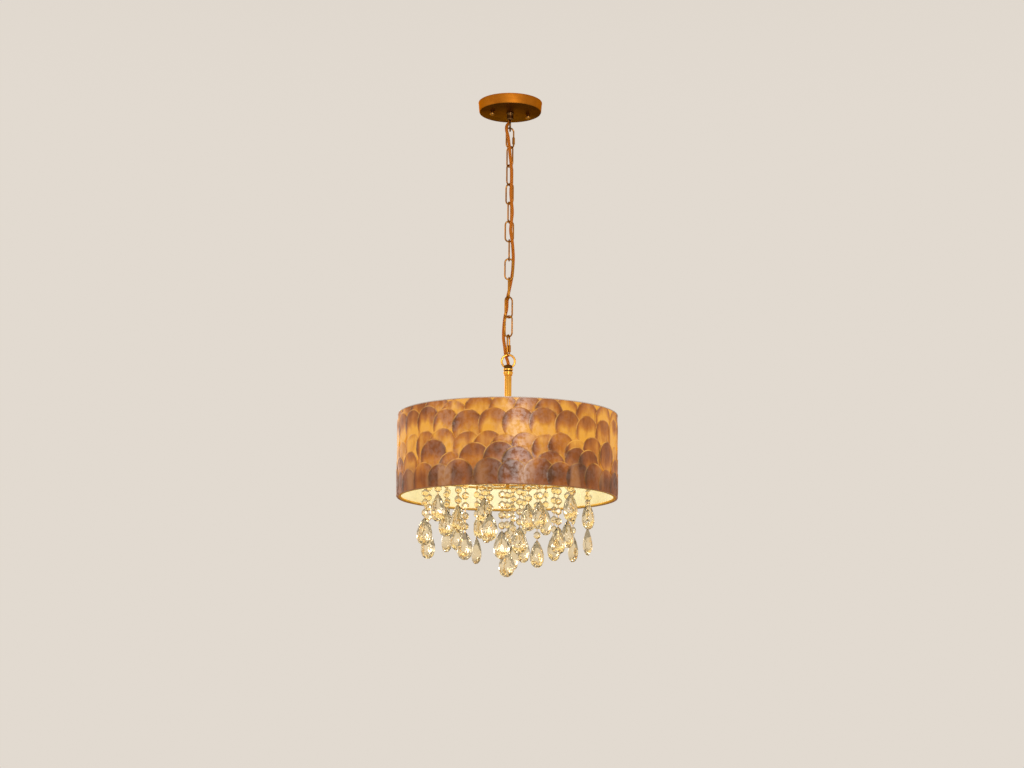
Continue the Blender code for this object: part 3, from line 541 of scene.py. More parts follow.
def sheet_look():
    """The lit sheet that the discs are glued on, and the glue between them."""
    look = Look("amber_backing", emission_strength=1.0)
    grain = look.noise(90.0, 4.0)
    _, _, z = look.parts(look.place())
    look.give("Base Color", look.blend(grain, (0.17, 0.085, 0.035), (0.28, 0.16, 0.08)))
    look.give("Roughness", grain * 0.2 + 0.4)
    look.give("Emission Color", shell_light(look, grain * 0.3 + 0.70, z - SHADE_FOOT))
    return look.material


def top_rim_look():
    """The pale edge where the discs are cut off at the top: the shell's pale cut edge, made paler
    as a painted highlight.
    """
    look = Look("pale_shell_rim", specular_ior_level=0.6)
    grain = look.noise(260.0, 4.0)
    look.give("Base Color", look.blend(grain, (0.58, 0.42, 0.33), (0.86, 0.72, 0.62)))
    look.give("Roughness", grain * 0.2 + 0.3)
    look.give("Normal", look.bump(grain, 0.0003, 0.5))
    return look.material


def lining_look():
    """Cream lining, washed with light from the three lamps."""
    look = Look("lit_cream_lining", emission_strength=1.0)
    grain = look.noise(150.0, 3.0)
    x, y, z = look.parts(look.place())
    # brightest beside each lamp
    nearest = None
    for angle in LAMP_ANGLES:
        spot = around(LAMP_RING_RADIUS, angle)
        far = ((x - spot.x) ** 2.0 + (y - spot.y) ** 2.0) ** 0.5
        nearest = nearest.maths("MINIMUM", far) if nearest else far
    bright = look.range(nearest, 0.11, 0.21, 1.0, 0.0)
    washed = look.blend(bright, (0.30, 0.235, 0.05), (0.56, 0.54, 0.36))
    washed = look.blend(grain * 0.2, washed, (0.34, 0.25, 0.08))
    # the turned-in hem shows no light
    hem = look.range(z - SHADE_FOOT, 0.0022, 0.0042, 1.0, 0.0)
    cloth = look.blend(grain, (0.95, 0.88, 0.62), (0.98, 0.94, 0.74))
    look.give("Base Color", look.blend(hem, cloth, (0.44, 0.19, 0.035)))
    look.give("Roughness", grain * 0.15 + 0.5)
    look.give("Emission Color", look.blend(hem, washed, (0.20, 0.075, 0.008)))
    look.give("Normal", look.bump(grain, 0.0002, 0.3))
    return look.material


def bulb_look():
    """Frosted glass, glowing, a little less so towards its neck."""
    look = Look("frosted_bulb", coat_weight=0.4, coat_roughness=0.1, emission_strength=1.7)
    _, _, z = look.parts(look.place())
    low, high = heights_of("bulb_1")
    up = look.range(z, low + 0.010, high, 0.0, 1.0)
    grain = look.noise(400.0, 2.0)
    look.give("Base Color", look.blend(grain, (0.90, 0.84, 0.72), (0.98, 0.94, 0.86)))
    look.give("Roughness", grain * 0.15 + 0.35)
    look.give("Emission Color", look.blend(up, (1.0, 0.66, 0.28), (1.0, 0.86, 0.56)))
    return look.material


def socket_look():
    """Ivory plastic, yellowed by the lamps' heat towards the top."""
    look = Look("ivory_socket", coat_weight=0.2)
    _, _, z = look.parts(look.place())
    low, high = heights_of("lamp_socket_1")
    grain = look.noise(120.0, 3.0)
    darkening = look.range(z + grain * 0.01, low, high + 0.004)
    look.give("Base Color", look.blend(darkening, (0.88, 0.83, 0.72), (0.80, 0.66, 0.45)))
    look.give("Roughness", grain * 0.15 + 0.3)
    look.give("Normal", look.bump(grain, 0.0001, 0.3))
    return look.material


def steel_look():
    """Zinc plate with its spangle."""
    look = Look("zinc_plate", metallic=1.0)
    spangle = look.add("ShaderNodeTexVoronoi", values={"Vector": look.place(), "Scale": 260.0},
                       result=1)
    shade = look.parts(spangle)[0]
    look.give("Base Color", look.blend(shade, (0.42, 0.42, 0.43), (0.62, 0.62, 0.61)))
    look.give("Roughness", shade * 0.18 + 0.3)
    return look.material


def crystal_look():
    """Cut glass tinted gold as a painted reflection of the lit shade, with faint wear on its faces.
    """
    look = Look("cut_crystal", transmission_weight=1.0, ior=1.54, specular_ior_level=0.6)
    smear = look.noise(160.0, 3.0)
    # painted reflection: the gold tint stands for the lit shade seen in clear glass
    look.give("Base Color", look.blend(smear, (0.98, 0.78, 0.46), (1.0, 0.88, 0.63)))
    look.give("Roughness", look.range(smear, 0.45, 0.75) * 0.05)
    return look.material


# ---------------------------------------------------------------------------
# Shapes
# ---------------------------------------------------------------------------


def add_object(name, mesh):
    """A new object of a mesh, in the scene."""
    obj = bpy.data.objects.new(name, mesh)
    bpy.context.scene.collection.objects.link(obj)
    return obj


def around(radius, angle, height=0.0):
    """A point at an angle counted from the front, -Y, towards +X."""
    return Vector((radius * math.sin(angle), -radius * math.cos(angle), height))


def arc(radius, start, end, steps):
    """Points in a plane from one angle to another, both included."""
    angles = [start + (end - start) * i / steps for i in range(steps + 1)]
    return [(radius * math.cos(angle), radius * math.sin(angle)) for angle in angles]


def circle(radius, count, start=0.0):
    """Points spaced evenly round a circle in a plane."""
    return arc(radius, start, start + 2 * math.pi, count)[:-1]


def mesh_of(name, points, faces):
    """A new mesh of points and faces."""
    mesh = bpy.data.meshes.new(name)
    mesh.from_pydata([tuple(p) for p in points], [], faces)
    return mesh


def face_outwards(mesh):
    """Turns the faces of a closed mesh outwards."""
    shape = bmesh.new()
    shape.from_mesh(mesh)
    bmesh.ops.recalc_face_normals(shape, faces=shape.faces)
    shape.to_mesh(mesh)
    shape.free()


def tidy(mesh, merge=MERGE):
    """Doubles merged and faces turned outwards."""
    shape = bmesh.new()
    shape.from_mesh(mesh)
    bmesh.ops.remove_doubles(shape, verts=shape.verts, dist=merge)
    bmesh.ops.recalc_face_normals(shape, faces=shape.faces)
    shape.to_mesh(mesh)
    shape.free()
    return mesh


def worked_in(obj):
    """The object's mesh with its modifiers and its place worked in. The object goes."""
    bpy.context.view_layer.update()
    held = obj.evaluated_get(bpy.context.evaluated_depsgraph_get())
    mesh = bpy.data.meshes.new_from_object(held)
    mesh.transform(obj.matrix_world)
    bpy.data.objects.remove(obj)
    return mesh


def softened(mesh, width):
    """The mesh with its hard edges rounded off."""
    obj = add_object(mesh.name, mesh)
    bevel = obj.modifiers.new("edges", "BEVEL")
    bevel.width = width
    bevel.segments = 2
    bevel.limit_method = "ANGLE"
    bevel.angle_limit = HARD_EDGE
    bevel.harden_normals = False
    return worked_in(obj)


def turned(name, outline, steps=64, round_off=0.0, centre=(0, 0)):
    """A turned shape. outline is a list of (radius, height) down the outside and back up."""
    points = []
    for x, y in circle(1.0, steps):
        points += [(radius * x + centre[0], radius * y + centre[1], height)
                   for radius, height in outline]
    faces = []
    count = len(outline)
    spans = count if outline[0][0] > 0 else count - 1
    for i in range(steps):
        here = i * count
        there = (i + 1) % steps * count
        for j in range(spans):
            k = (j + 1) % count
            faces.append((here + j, here + k, there + k, there + j))
    mesh = tidy(mesh_of(name, points, faces))
    return softened(mesh, round_off) if round_off else mesh


def rings_along(path, radius, sides, closed=False):
    """Rings of points round a path, each turned as little as can be from the last."""
    count = len(path)
    rings = []
    side = None
    for i, point in enumerate(path):
        if closed:
            ahead = path[(i + 1) % count] - path[i - 1]
        else:
            ahead = path[min(i + 1, count - 1)] - path[max(i - 1, 0)]
        ahead = ahead.normalized()
        if side is None:
            side = ahead.orthogonal().normalized()
        side = (side - ahead * side.dot(ahead)).normalized()
        up = ahead.cross(side)
        rings.append([point + (side * x + up * y) * radius for x, y in circle(1.0, sides)])
    return rings


def tube_of(name, rings, closed=False):
    """A skin over rings, with flat ends where it is open."""
    sides = len(rings[0])
    count = len(rings)
    points = [point for ring in rings for point in ring]
    faces = []
    for i in range(count if closed else count - 1):
        for j in range(sides):
            k = (j + 1) % sides
            here = i * sides
            there = (i + 1) % count * sides
            faces.append((here + j, here + k, there + k, there + j))
    if not closed:
        faces.append(tuple(reversed(range(sides))))
        faces.append(tuple((count - 1) * sides + j for j in range(sides)))
    return mesh_of(name, points, faces)


def tube(name, path, radius, sides, closed=False):
    """A round wire along a path."""
    return tidy(tube_of(name, rings_along(path, radius, sides, closed), closed), MERGE / 10)


def ring_path(radius, height, steps):
    """A level circle round the middle."""
    return [around(radius, 2 * math.pi * i / steps, height) for i in range(steps)]


def spoke_path(start, end, angle, height, steps):
    """A straight way outwards from the middle."""
    return [around(start + (end - start) * s / steps, angle, height) for s in range(steps + 1)]


def block(name, size, centre, turn, round_off):
    """A box about its middle, turned about the vertical."""
    mesh = bpy.data.meshes.new(name)
    shape = bmesh.new()
    bmesh.ops.create_cube(shape, size=1)
    place = Matrix.Translation(centre) @ Matrix.Rotation(turn, 4, "Z")
    matrix = place @ Matrix.Diagonal((*size, 1))
    bmesh.ops.transform(shape, matrix=matrix, verts=shape.verts)
    shape.to_mesh(mesh)
    shape.free()
    return softened(mesh, round_off)


def joined(name, meshes):
    """One mesh of several, side by side."""
    shape = bmesh.new()
    for mesh in meshes:
        shape.from_mesh(mesh)
    whole = bpy.data.meshes.new(name)
    shape.to_mesh(whole)
    shape.free()
    return whole


def smoothed(mesh, angle=SMOOTH_EDGE):
    """The mesh shaded smooth, except at edges sharper than the angle."""
    mesh.shade_smooth()
    mesh.set_sharp_from_angle(angle=angle)
    return mesh


# ---------------------------------------------------------------------------
# Putting a piece on its body
# ---------------------------------------------------------------------------

BODY_OF = {}
for body, nodes in frame["record"]["behaviour"]["bodies"].items():
    for node in nodes:
        BODY_OF[node] = body


def finish_as(node, mesh, material, name=None, replacing=True):
    """Puts a finished mesh in the place of a CAD node, or beside it on the same body."""
    mesh.materials.clear()
    mesh.materials.append(material)
    obj = add_object(name or node + "_made", mesh)
    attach(obj, BODY_OF[node])
    if replacing:
        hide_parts(node)
    return obj


def keep(node, material):
    """A CAD node whose shape is right gets its finish."""
    for place in frame["nodes"][node].material_slots:
        place.material = material


# ---------------------------------------------------------------------------
# Canopy
# ---------------------------------------------------------------------------


def screw_place(side):
    """Where a canopy screw stands, side being -1 on the left and 1 on the right."""
    reach = side * SCREW_SPACING / 2
    return reach * math.cos(SCREW_TURN), reach * math.sin(SCREW_TURN)


def make_canopy(gold):
    """A shallow spun dish with a rolled rim and a rounded shoulder."""
    bottom = CANOPY_FACE
    outline = [
        (CANOPY_RADIUS, 0.0), (CANOPY_RADIUS, -0.0009), (0.05955, -0.0016), (0.0590, -0.010),
        (0.0584, bottom + 0.0022), (0.0577, bottom + 0.0007), (0.0562, bottom),
        (0.0130, bottom), (0.0118, bottom - 0.0002), (0.0051, bottom - 0.0002),
        (0.0051, bottom + 0.001), (0.0562, bottom + 0.001), (0.0574, bottom + 0.0024),
        (0.0590, 0.0),
    ]
    dish = turned("canopy_dish", outline, 128)
    finish_as("canopy", smoothed(dish, math.radians(32)), gold)


def make_canopy_screws(gold):
    """Long screws with ball knobs, and a small washer under each."""
    seat = CANOPY_FACE - GAP
    middle = seat - KNOB_DROP
    outline = [(0.0, 0.0), (0.0020, 0.0), (0.0020, seat), (0.0041, seat),
               (0.0041, seat - 0.0005), (0.0028, seat - 0.0006)]
    ball = arc(KNOB_RADIUS, KNOB_SHOULDER, math.pi, 8)
    outline += [(across, middle + up) for up, across in ball[:-1]]
    outline.append((0.0, middle - KNOB_RADIUS))
    for side, label in ((-1, "left"), (1, "right")):
        knob = turned("knob", outline, 28, centre=screw_place(side))
        finish_as("canopy_screw_" + label, smoothed(knob), gold)


def make_canopy_loop(bronze):
    """The collar under the canopy, with its ring seen edge on from the front."""
    top = CANOPY_FACE - GAP
    foot = top - LOOP_COLLAR_HEIGHT
    outline = [
        (0.0075, top), (0.0075, top - 0.0020), (0.00625, top - 0.0024),
        (0.00610, top - 0.0085), (0.00640, top - 0.0095), (0.00640, foot + 0.0010),
        (0.0056, foot), (CORD_HOLE_RADIUS, foot), (CORD_HOLE_RADIUS, top - 0.0103),
        (0.0051, top - 0.0103), (0.0051, top),
    ]
    collar = turned("loop_collar", outline, 48, 0.0002)
    centre = heights_of("canopy_loop")[0] + LOOP_RING_RADIUS + LOOP_WIRE_RADIUS
    path = [Vector((0, across, centre + up)) for up, across in circle(LOOP_RING_RADIUS, 48)]
    # the ring's open top ends inside the collar, clear of the cord's way down
    lower = [p for p in path if p.z < foot + 0.0006]
    lower.sort(key=lambda p: math.atan2(p.y, centre - p.z))
    ring = tube("loop_ring", lower, LOOP_WIRE_RADIUS, 16)
    finish_as("canopy_loop", smoothed(joined("loop", [collar, ring])), bronze)


# ---------------------------------------------------------------------------
# Chain
# ---------------------------------------------------------------------------


def link_path(opened, crown, turn):
    """The middle line of a link's wire, from its gap or from its right side round."""
    half = LINK_LENGTH / 2 - LINK_BOW_RADIUS
    middle = crown - LINK_LENGTH / 2
    flat = []
    for end, start in ((1, 0.0), (-1, math.pi)):
        bow = arc(LINK_BOW_RADIUS, start, start + math.pi, 16)
        flat += [(across, middle + end * half + up) for across, up in bow]
        if end == 1:
            flat += [(-LINK_BOW_RADIUS, middle + half * s) for s in (0.5, 0.0, -0.5)]
    if opened:
        gap = middle - QUICK_GAP_DROP
        flat.insert(0, (LINK_BOW_RADIUS, gap + QUICK_GAP / 2))
        flat.append((LINK_BOW_RADIUS, gap - QUICK_GAP / 2))
    else:
        flat += [(LINK_BOW_RADIUS, middle - half * s) for s in (0.5, 0.0, -0.5)]
    return [Vector((x * math.cos(turn), x * math.sin(turn), z)) for x, z in flat]


def make_chain(gold):
    """Twelve links. The first and the last open at a sleeve."""
    for k, name in enumerate(LINKS):
        opened = k in (0, len(LINKS) - 1)
        path = link_path(opened, heights_of(name)[1], LINK_TURNS[k])
        link = tube(name, path, LINK_WIRE_RADIUS, 12, not opened)
        finish_as(name, smoothed(link, math.radians(50)), gold)


def make_sleeves(gold):
    """Hexagon nuts with chamfered ends, one on each opening link."""
    bore = LINK_WIRE_RADIUS + GAP
    for k, label in ((0, "upper"), (len(LINKS) - 1, "lower")):
        node = "quick_link_sleeve_" + label
        low, high = heights_of(node)
        outline = [
            (bore, high), (SLEEVE_END_RADIUS, high), (SLEEVE_CORNER_RADIUS, high - SLEEVE_CHAMFER),
            (SLEEVE_CORNER_RADIUS, low + SLEEVE_CHAMFER), (SLEEVE_END_RADIUS, low), (bore, low),
        ]
        nut = turned(node, outline, 6, 0.00012)
        turn = LINK_TURNS[k]
        place = Vector((LINK_BOW_RADIUS * math.cos(turn), LINK_BOW_RADIUS * math.sin(turn), 0))
        nut.transform(Matrix.Translation(place) @ Matrix.Rotation(turn, 4, "Z"))
        finish_as(node, nut, gold)


# ---------------------------------------------------------------------------
# Cord
# ---------------------------------------------------------------------------


def smooth_route(points, steps):
    """A smooth curve through points, with that many steps to each span."""
    route = [points[0] * 2 - points[1], *points, points[-1] * 2 - points[-2]]
    made = []
    for i in range(1, len(route) - 2):
        a, b, c, d = route[i - 1: i + 3]
        for step in range(steps):
            u = step / steps
            made.append((b * 2 + (c - a) * u + (a * 2 - b * 5 + c * 4 - d) * u**2
                         + (b * 3 - a - c * 3 + d) * u**3) / 2)
    made.append(points[-1])
    return made


def lay_weave(mesh, lengths):
    """Maps a length of cord: metres along it, and from 0 to 1 round it."""
    weave = mesh.uv_layers.new(name="weave")
    for face in mesh.polygons:
        corners = [mesh.loops[i].vertex_index for i in face.loop_indices]
        wraps = any(corner % CORD_SIDES == CORD_SIDES - 1 for corner in corners)
        for i, corner in zip(face.loop_indices, corners, strict=True):
            ring, side = divmod(corner, CORD_SIDES)
            weave.data[i].uv = (lengths[ring], 1.0 if wraps and side == 0 else side / CORD_SIDES)


def make_cord(woven):
    """The cord cut into lengths from link to link, each spanning one hinge of the chain."""
    route = smooth_route([Vector(p) * MM for p in CORD_ROUTE], CORD_STEPS)
    rings = rings_along(route, CORD_RADIUS, CORD_SIDES)
    lengths = [0.0]
    for a, b in zip(route, route[1:]):
        lengths.append(lengths[-1] + (b - a).length)
    middles = [sum(heights_of(name)) / 2 for name in LINKS]
    cuts = [0]
    for height in middles:
        cuts.append(min(range(len(route)), key=lambda i: abs(route[i].z - height)))
    cuts.append(len(route) - 1)
    for k in range(len(cuts) - 1):
        first, last = cuts[k], cuts[k + 1]
        mesh = tube_of(f"cord_{k:02d}", rings[first: last + 1])
        lay_weave(mesh, lengths[first:])
        face_outwards(mesh)
        smoothed(mesh, math.radians(60)).materials.append(woven)
        piece = add_object(f"supply_cord_{k:02d}", mesh)
        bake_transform(piece)
        if k == 0:
            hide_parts("supply_cord")


# ---------------------------------------------------------------------------
# Stem, and what it carries inside the shade
# ---------------------------------------------------------------------------


def make_stem_loop(gold):
    """The horseshoe on the last link and the stepped collar under it."""
    low, high = heights_of("stem_loop")
    crown = high - HORSESHOE_WIRE_RADIUS
    middle = crown - HORSESHOE_RADIUS
    bend = arc(HORSESHOE_RADIUS, -HORSESHOE_SWEEP / 2, HORSESHOE_SWEEP / 2, 48)
    path = [Vector((across, 0, middle + up)) for up, across in bend]
    bow = tube("horseshoe", path, HORSESHOE_WIRE_RADIUS, 16)
    top = crown - COLLAR_DROP
    neck = top - COLLAR_NECK
    seat = low + 0.008 + GAP
    outline = [
        (0.0058, top), (0.0074, top - 0.0012), (0.0078, top - 0.0026), (0.0078, neck),
        (0.00875, neck - 0.0002), (0.00875, neck - 0.0028), (0.0074, neck - 0.0031),
        (0.0074, neck - 0.0054), (0.00875, neck - 0.0057), (0.00875, neck - 0.0083),
        (0.0078, neck - 0.0086), (0.0078, low), (STEM_HOLE_RADIUS, low),
        (STEM_HOLE_RADIUS, seat), (CORD_HOLE_RADIUS, seat), (CORD_HOLE_RADIUS, top),
    ]
    collar = turned("collar", outline, 56, 0.00025)
    finish_as("stem_loop", smoothed(joined("stem_loop", [bow, collar])), gold)


def make_stem(gold):
    """A straight tube."""
    low, high = heights_of("stem")
    outline = [(STEM_RADIUS, high), (STEM_RADIUS, low),
               (STEM_BORE_RADIUS, low), (STEM_BORE_RADIUS, high)]
    finish_as("stem", smoothed(turned("stem", outline, 56, 0.0003)), gold)


def hub(name, radius, middle, half):
    """A flat hub round the stem."""
    top, bottom = middle + half, middle - half
    outline = [(radius, top), (radius, bottom),
               (STEM_HOLE_RADIUS, bottom), (STEM_HOLE_RADIUS, top)]
    return turned(name, outline, 56, 0.0005)


def make_spider(satin):
    """The top ring of the shade, and three arms to a hub on the stem."""
    middle = SHADE_CROWN - LINER_INSET - SHADE_WIRE_RADIUS
    parts = [hub("hub", SPIDER_HUB_RADIUS, middle, SPIDER_HUB_HALF)]
    parts.append(tube("top_ring", ring_path(SHADE_RING_RADIUS, middle, 144),
                      SHADE_WIRE_RADIUS, 12, True))
    length = SHADE_RING_RADIUS - SPIDER_ARM_START
    for i in range(SPIDER_ARMS):
        angle = 2 * math.pi * i / SPIDER_ARMS
        centre = around(SPIDER_ARM_START + length / 2, angle, middle)
        arm = (SPIDER_ARM_WIDTH, length, SPIDER_ARM_THICKNESS)
        parts.append(block("arm", arm, centre, angle, 0.0003))
    finish_as("shade_spider", smoothed(joined("spider", parts)), satin)


def make_cluster(satin):
    """The body of the lamp cluster, with three arms and a cup on each."""
    low, high = heights_of("lamp_cluster")
    middle = (low + high) / 2
    outline = [(0.0165, high), (0.0195, high - 0.0025), (0.0200, high - 0.005),
               (0.0200, low + 0.005), (0.0195, low + 0.0025), (0.0165, low),
               (STEM_HOLE_RADIUS, low), (STEM_HOLE_RADIUS, high)]
    parts = [turned("cluster_body", outline, 64, 0.0004)]
    cup_top = heights_of("lamp_socket_1")[0] - GAP
    for angle in LAMP_ANGLES:
        path = spoke_path(CLUSTER_ARM_START, LAMP_RING_RADIUS, angle, middle, 6)
        parts.append(tube("arm", path, CLUSTER_ARM_RADIUS, 20))
        place = around(LAMP_RING_RADIUS, angle)
        cup = [(0, cup_top), (0.0100, cup_top), (0.0100, cup_top - 0.0016),
               (0.0082, cup_top - 0.0040), (0.0062, middle - 0.0036), (0.0, middle - 0.004)]
        parts.append(turned("cup", cup, 40, 0.0003, centre=(place.x, place.y)))
    finish_as("lamp_cluster", smoothed(joined("cluster", parts)), satin)


def make_lamps(ivory, frosted):
    """Upright sockets with ribbed skirts, and round frosted bulbs."""
    low, high = heights_of("lamp_socket_1")
    skirt = [(0.0, low), (0.0118, low), (SOCKET_RADIUS, low + 0.0010)]
    for rib in range(SOCKET_RIBS):
        at = low + 0.0045 + rib * SOCKET_RIB_PITCH
        skirt += [(SOCKET_RADIUS, at), (SOCKET_GROOVE_RADIUS, at + 0.0006),
                  (SOCKET_GROOVE_RADIUS, at + 0.0014), (SOCKET_RADIUS, at + 0.0020)]
    skirt += [(SOCKET_RADIUS, high - 0.0010), (0.0122, high), (SOCKET_BORE_RADIUS, high),
              (SOCKET_BORE_RADIUS, low + SOCKET_FLOOR), (0.0, low + SOCKET_FLOOR)]
    bulb_low, bulb_high = heights_of("bulb_1")
    centre = bulb_high - BULB_RADIUS
    neck = BULB_NECK_RADIUS
    lowest = math.pi - math.asin(neck / BULB_RADIUS) - 0.20
    glass = [(across, centre + up) for up, across in arc(BULB_RADIUS, 0.0, lowest, 24)]
    glass += [(0.0090, high + 0.0012), (0.0072, high + 0.0002), (neck, high - 0.0010),
              (neck, bulb_low + 0.001), (neck - 0.001, bulb_low), (0.0, bulb_low)]
    for i, angle in enumerate(LAMP_ANGLES):
        place = around(LAMP_RING_RADIUS, angle)
        spot = (place.x, place.y)
        node = f"lamp_socket_{i + 1}"
        finish_as(node, smoothed(turned(node, skirt, 48, centre=spot)), ivory)
        node = f"bulb_{i + 1}"
        finish_as(node, smoothed(turned(node, glass, 48, centre=spot)), frosted)


def make_crystal_frame(satin):
    """Three wire rings on spokes, round a hub on the stem."""
    parts = [hub("frame_hub", FRAME_HUB_RADIUS, FRAME_HEIGHT, FRAME_HUB_HALF)]
    for angle in LAMP_ANGLES:
        path = spoke_path(FRAME_SPOKE_START, OUTER_RING_RADIUS, angle, FRAME_HEIGHT, 8)
        parts.append(tube("spoke", path, FRAME_WIRE_RADIUS, 16))
    for _, radius, _, _ in STRAND_RINGS:
        path = ring_path(radius, FRAME_HEIGHT, 120)
        parts.append(tube("ring", path, FRAME_WIRE_RADIUS, 14, True))
    finish_as("crystal_frame", smoothed(joined("frame", parts)), satin)


def make_finial(satin):
    """The cap on the stem's foot, with the eye of the middle strand under it."""
    high = heights_of("frame_finial")[1]
    foot = high - 0.0080
    outline = [(0.0, high - 0.0067), (STEM_HOLE_RADIUS, high - 0.0067), (STEM_HOLE_RADIUS, high),
               (0.0130, high), (0.0132, high - 0.0012), (0.0128, high - 0.0030),
               (0.0105, high - 0.0055), (0.0070, high - 0.0070), (0.0050, foot), (0.0, foot)]
    body = turned("finial", outline, 56, 0.0002)
    centre = foot - EYE_RADIUS
    path = [Vector((across, 0, centre + up)) for up, across in circle(EYE_RADIUS, 28)]
    eye = tube("eye", path, EYE_WIRE_RADIUS, 12, True)
    finish_as("frame_finial", smoothed(joined("finial_and_eye", [body, eye])), satin)


# ---------------------------------------------------------------------------
# Shade of shell discs
# ---------------------------------------------------------------------------


def new_tree(name, sockets):
    """A geometry tree with named inputs. Returns its graph, its inputs and its output."""
    tree = bpy.data.node_groups.new(name, "GeometryNodeTree")
    tree.interface.new_socket("Geometry", in_out="INPUT", socket_type="NodeSocketGeometry")
    for label, kind in sockets:
        tree.interface.new_socket(label, in_out="INPUT", socket_type="NodeSocket" + kind)
    tree.interface.new_socket("Geometry", in_out="OUTPUT", socket_type="NodeSocketGeometry")
    graph = Graph(tree)
    taken = graph.add("NodeGroupInput").socket.node
    inputs = {out.name: Result(graph, out) for out in taken.outputs if out.name}
    return graph, inputs, tree.nodes.new("NodeGroupOutput")


def end_tree(graph, placed, finish, out):
    """Ends a tree: what it placed made real, with its material."""
    real = graph.add("GeometryNodeRealizeInstances", values={"Geometry": placed})
    values = {"Geometry": real, "Material": finish}
    graph.feed(out.inputs[0], graph.add("GeometryNodeSetMaterial", values=values))


def run_tree(name, points, graph, values):
    """Runs a tree on a mesh of points and returns the plain mesh it makes."""
    obj = add_object(name, points)
    modifier = obj.modifiers.new("made", "NODES")
    modifier.node_group = graph.tree
    for item in graph.tree.interface.items_tree:
        if item.in_out == "INPUT" and item.name in values:
            modifier[item.identifier] = values[item.name]
    return worked_in(obj)


def shell_disc():
    """A disc of radius 1, its face in rings so that the light can fade across it."""
    points = [(0, 0, DISC_THICKNESS)]
    reaches = [(i + 1) / DISC_RINGS * DISC_FACE_REACH for i in range(DISC_RINGS)]
    levels = [*((reach, DISC_THICKNESS) for reach in reaches), (1.0, DISC_THICKNESS / 2),
              (DISC_FACE_REACH, 0.0)]
    for reach, height in levels:
        points += [(x, y, height) for x, y in circle(reach, DISC_CORNERS)]
    points.append((0, 0, 0))
    faces = []
    last = len(points) - 1
    for j in range(DISC_CORNERS):
        k = (j + 1) % DISC_CORNERS
        faces.append((0, 1 + j, 1 + k))
        for i in range(len(levels) - 1):
            a = 1 + i * DISC_CORNERS
            b = a + DISC_CORNERS
            faces.append((a + j, b + j, b + k, a + k))
        rim = 1 + (len(levels) - 1) * DISC_CORNERS
        faces.append((rim + j, last, rim + k))
    mesh = mesh_of("shell_disc", points, faces)
    local = mesh.attributes.new("disc_local", "FLOAT_VECTOR", "POINT")
    for item, point in zip(local.data, points, strict=True):
        item.vector = point
    return mesh


def disc_tree():
    """Discs on points of a flat wall, each of its own size, all leaning one way."""
    graph, given, out = new_tree("shell_discs", [
        ("Disc", "Object"), ("Lean out", "Float"), ("Lean aside", "Float"), ("Seed", "Int"),
        ("Finish", "Material"),
    ])
    size = graph.add("GeometryNodeInputNamedAttribute", {"data_type": "FLOAT"}, {"Name": "size"})
    scale = graph.add("ShaderNodeCombineXYZ", values={0: size * 0.5, 1: size * 0.5, 2: 1.0})
    lean = graph.add("ShaderNodeCombineXYZ",
                     values={0: given["Lean out"], 1: given["Lean aside"], 2: 0.0})
    disc = graph.add("GeometryNodeObjectInfo", values={"Object": given["Disc"]}, result=4)
    placed = graph.add("GeometryNodeInstanceOnPoints", values={
        "Points": given["Geometry"], "Instance": disc, "Rotation": lean, "Scale": scale})
    tone = graph.add("FunctionNodeRandomValue", {"data_type": "FLOAT"},
                     {2: 0.0, 3: 1.0, 8: given["Seed"]}, result=1)
    toned = graph.add("GeometryNodeStoreNamedAttribute",
                      {"data_type": "FLOAT", "domain": "INSTANCE"},
                      {"Geometry": placed, "Name": "disc_tone", "Value": tone})
    end_tree(graph, toned, given["Finish"], out)
    return graph


def half_turn(angle):
    """The same angle, from minus to plus half a turn."""
    return (angle + math.pi) % (2 * math.pi) - math.pi


def disc_list():
    """Each disc's angle, height and diameter in the order of laying, the front as listed."""
    chance = random.Random(DISC_SEED)
    discs = []
    for row in FRONT_DISCS:
        laid = [(math.radians(angle), height * MM, size * MM) for angle, height, size in row]
        level = sum(height for _, height, _ in laid) / len(laid)
        first, last = min(laid)[0], max(laid)[0]
        span = 2 * math.pi - (last - first)
        count = round(span / DISC_PITCH)
        for i in range(1, count):
            angle = last + span * i / count + chance.uniform(-1, 1) * DISC_SHIFT_ROUND
            height = level + chance.uniform(-1, 1) * DISC_SHIFT_UP
            size = DISC_DIAMETER * (1 + chance.uniform(-1, 1) * DISC_SIZE_VARIATION)
            laid.append((half_turn(angle), height, size))
        discs += laid
    return discs


def disc_neighbours(discs):
    """For each disc, the others that reach it: index, way along and up to it, and radius."""
    found = []
    for i, (angle, height, size) in enumerate(discs):
        near = []
        for j, (other_angle, other_height, other_size) in enumerate(discs):
            along = half_turn(other_angle - angle) * SHEET_RADIUS
            up = other_height - height
            if i != j and math.hypot(along, up) < (size + other_size) / 2:
                near.append((j, along, up, other_size / 2))
        found.append(near)
    return found


def disc_lifts(neighbours):
    """How far each disc stands out, so that it clears the ones laid before it."""
    out_slope = math.tan(DISC_LEAN_OUT)
    aside_slope = math.tan(DISC_LEAN_ASIDE)
    lifts = []
    for i, near in enumerate(neighbours):
        lift = DISC_STAND_OFF
        for j, along, up, _ in near:
            if j < i:
                lift = max(lift, lifts[j] + DISC_STEP - out_slope * up + aside_slope * along)
        lifts.append(lift)
    return lifts


def bend_round(mesh, radius):
    """Bends a flat wall, x along, y up and z outwards, round the drum."""
    for vertex in mesh.vertices:
        along, up, out = vertex.co
        vertex.co = around(radius + out, along / SHEET_RADIUS, SHADE_FOOT + up)


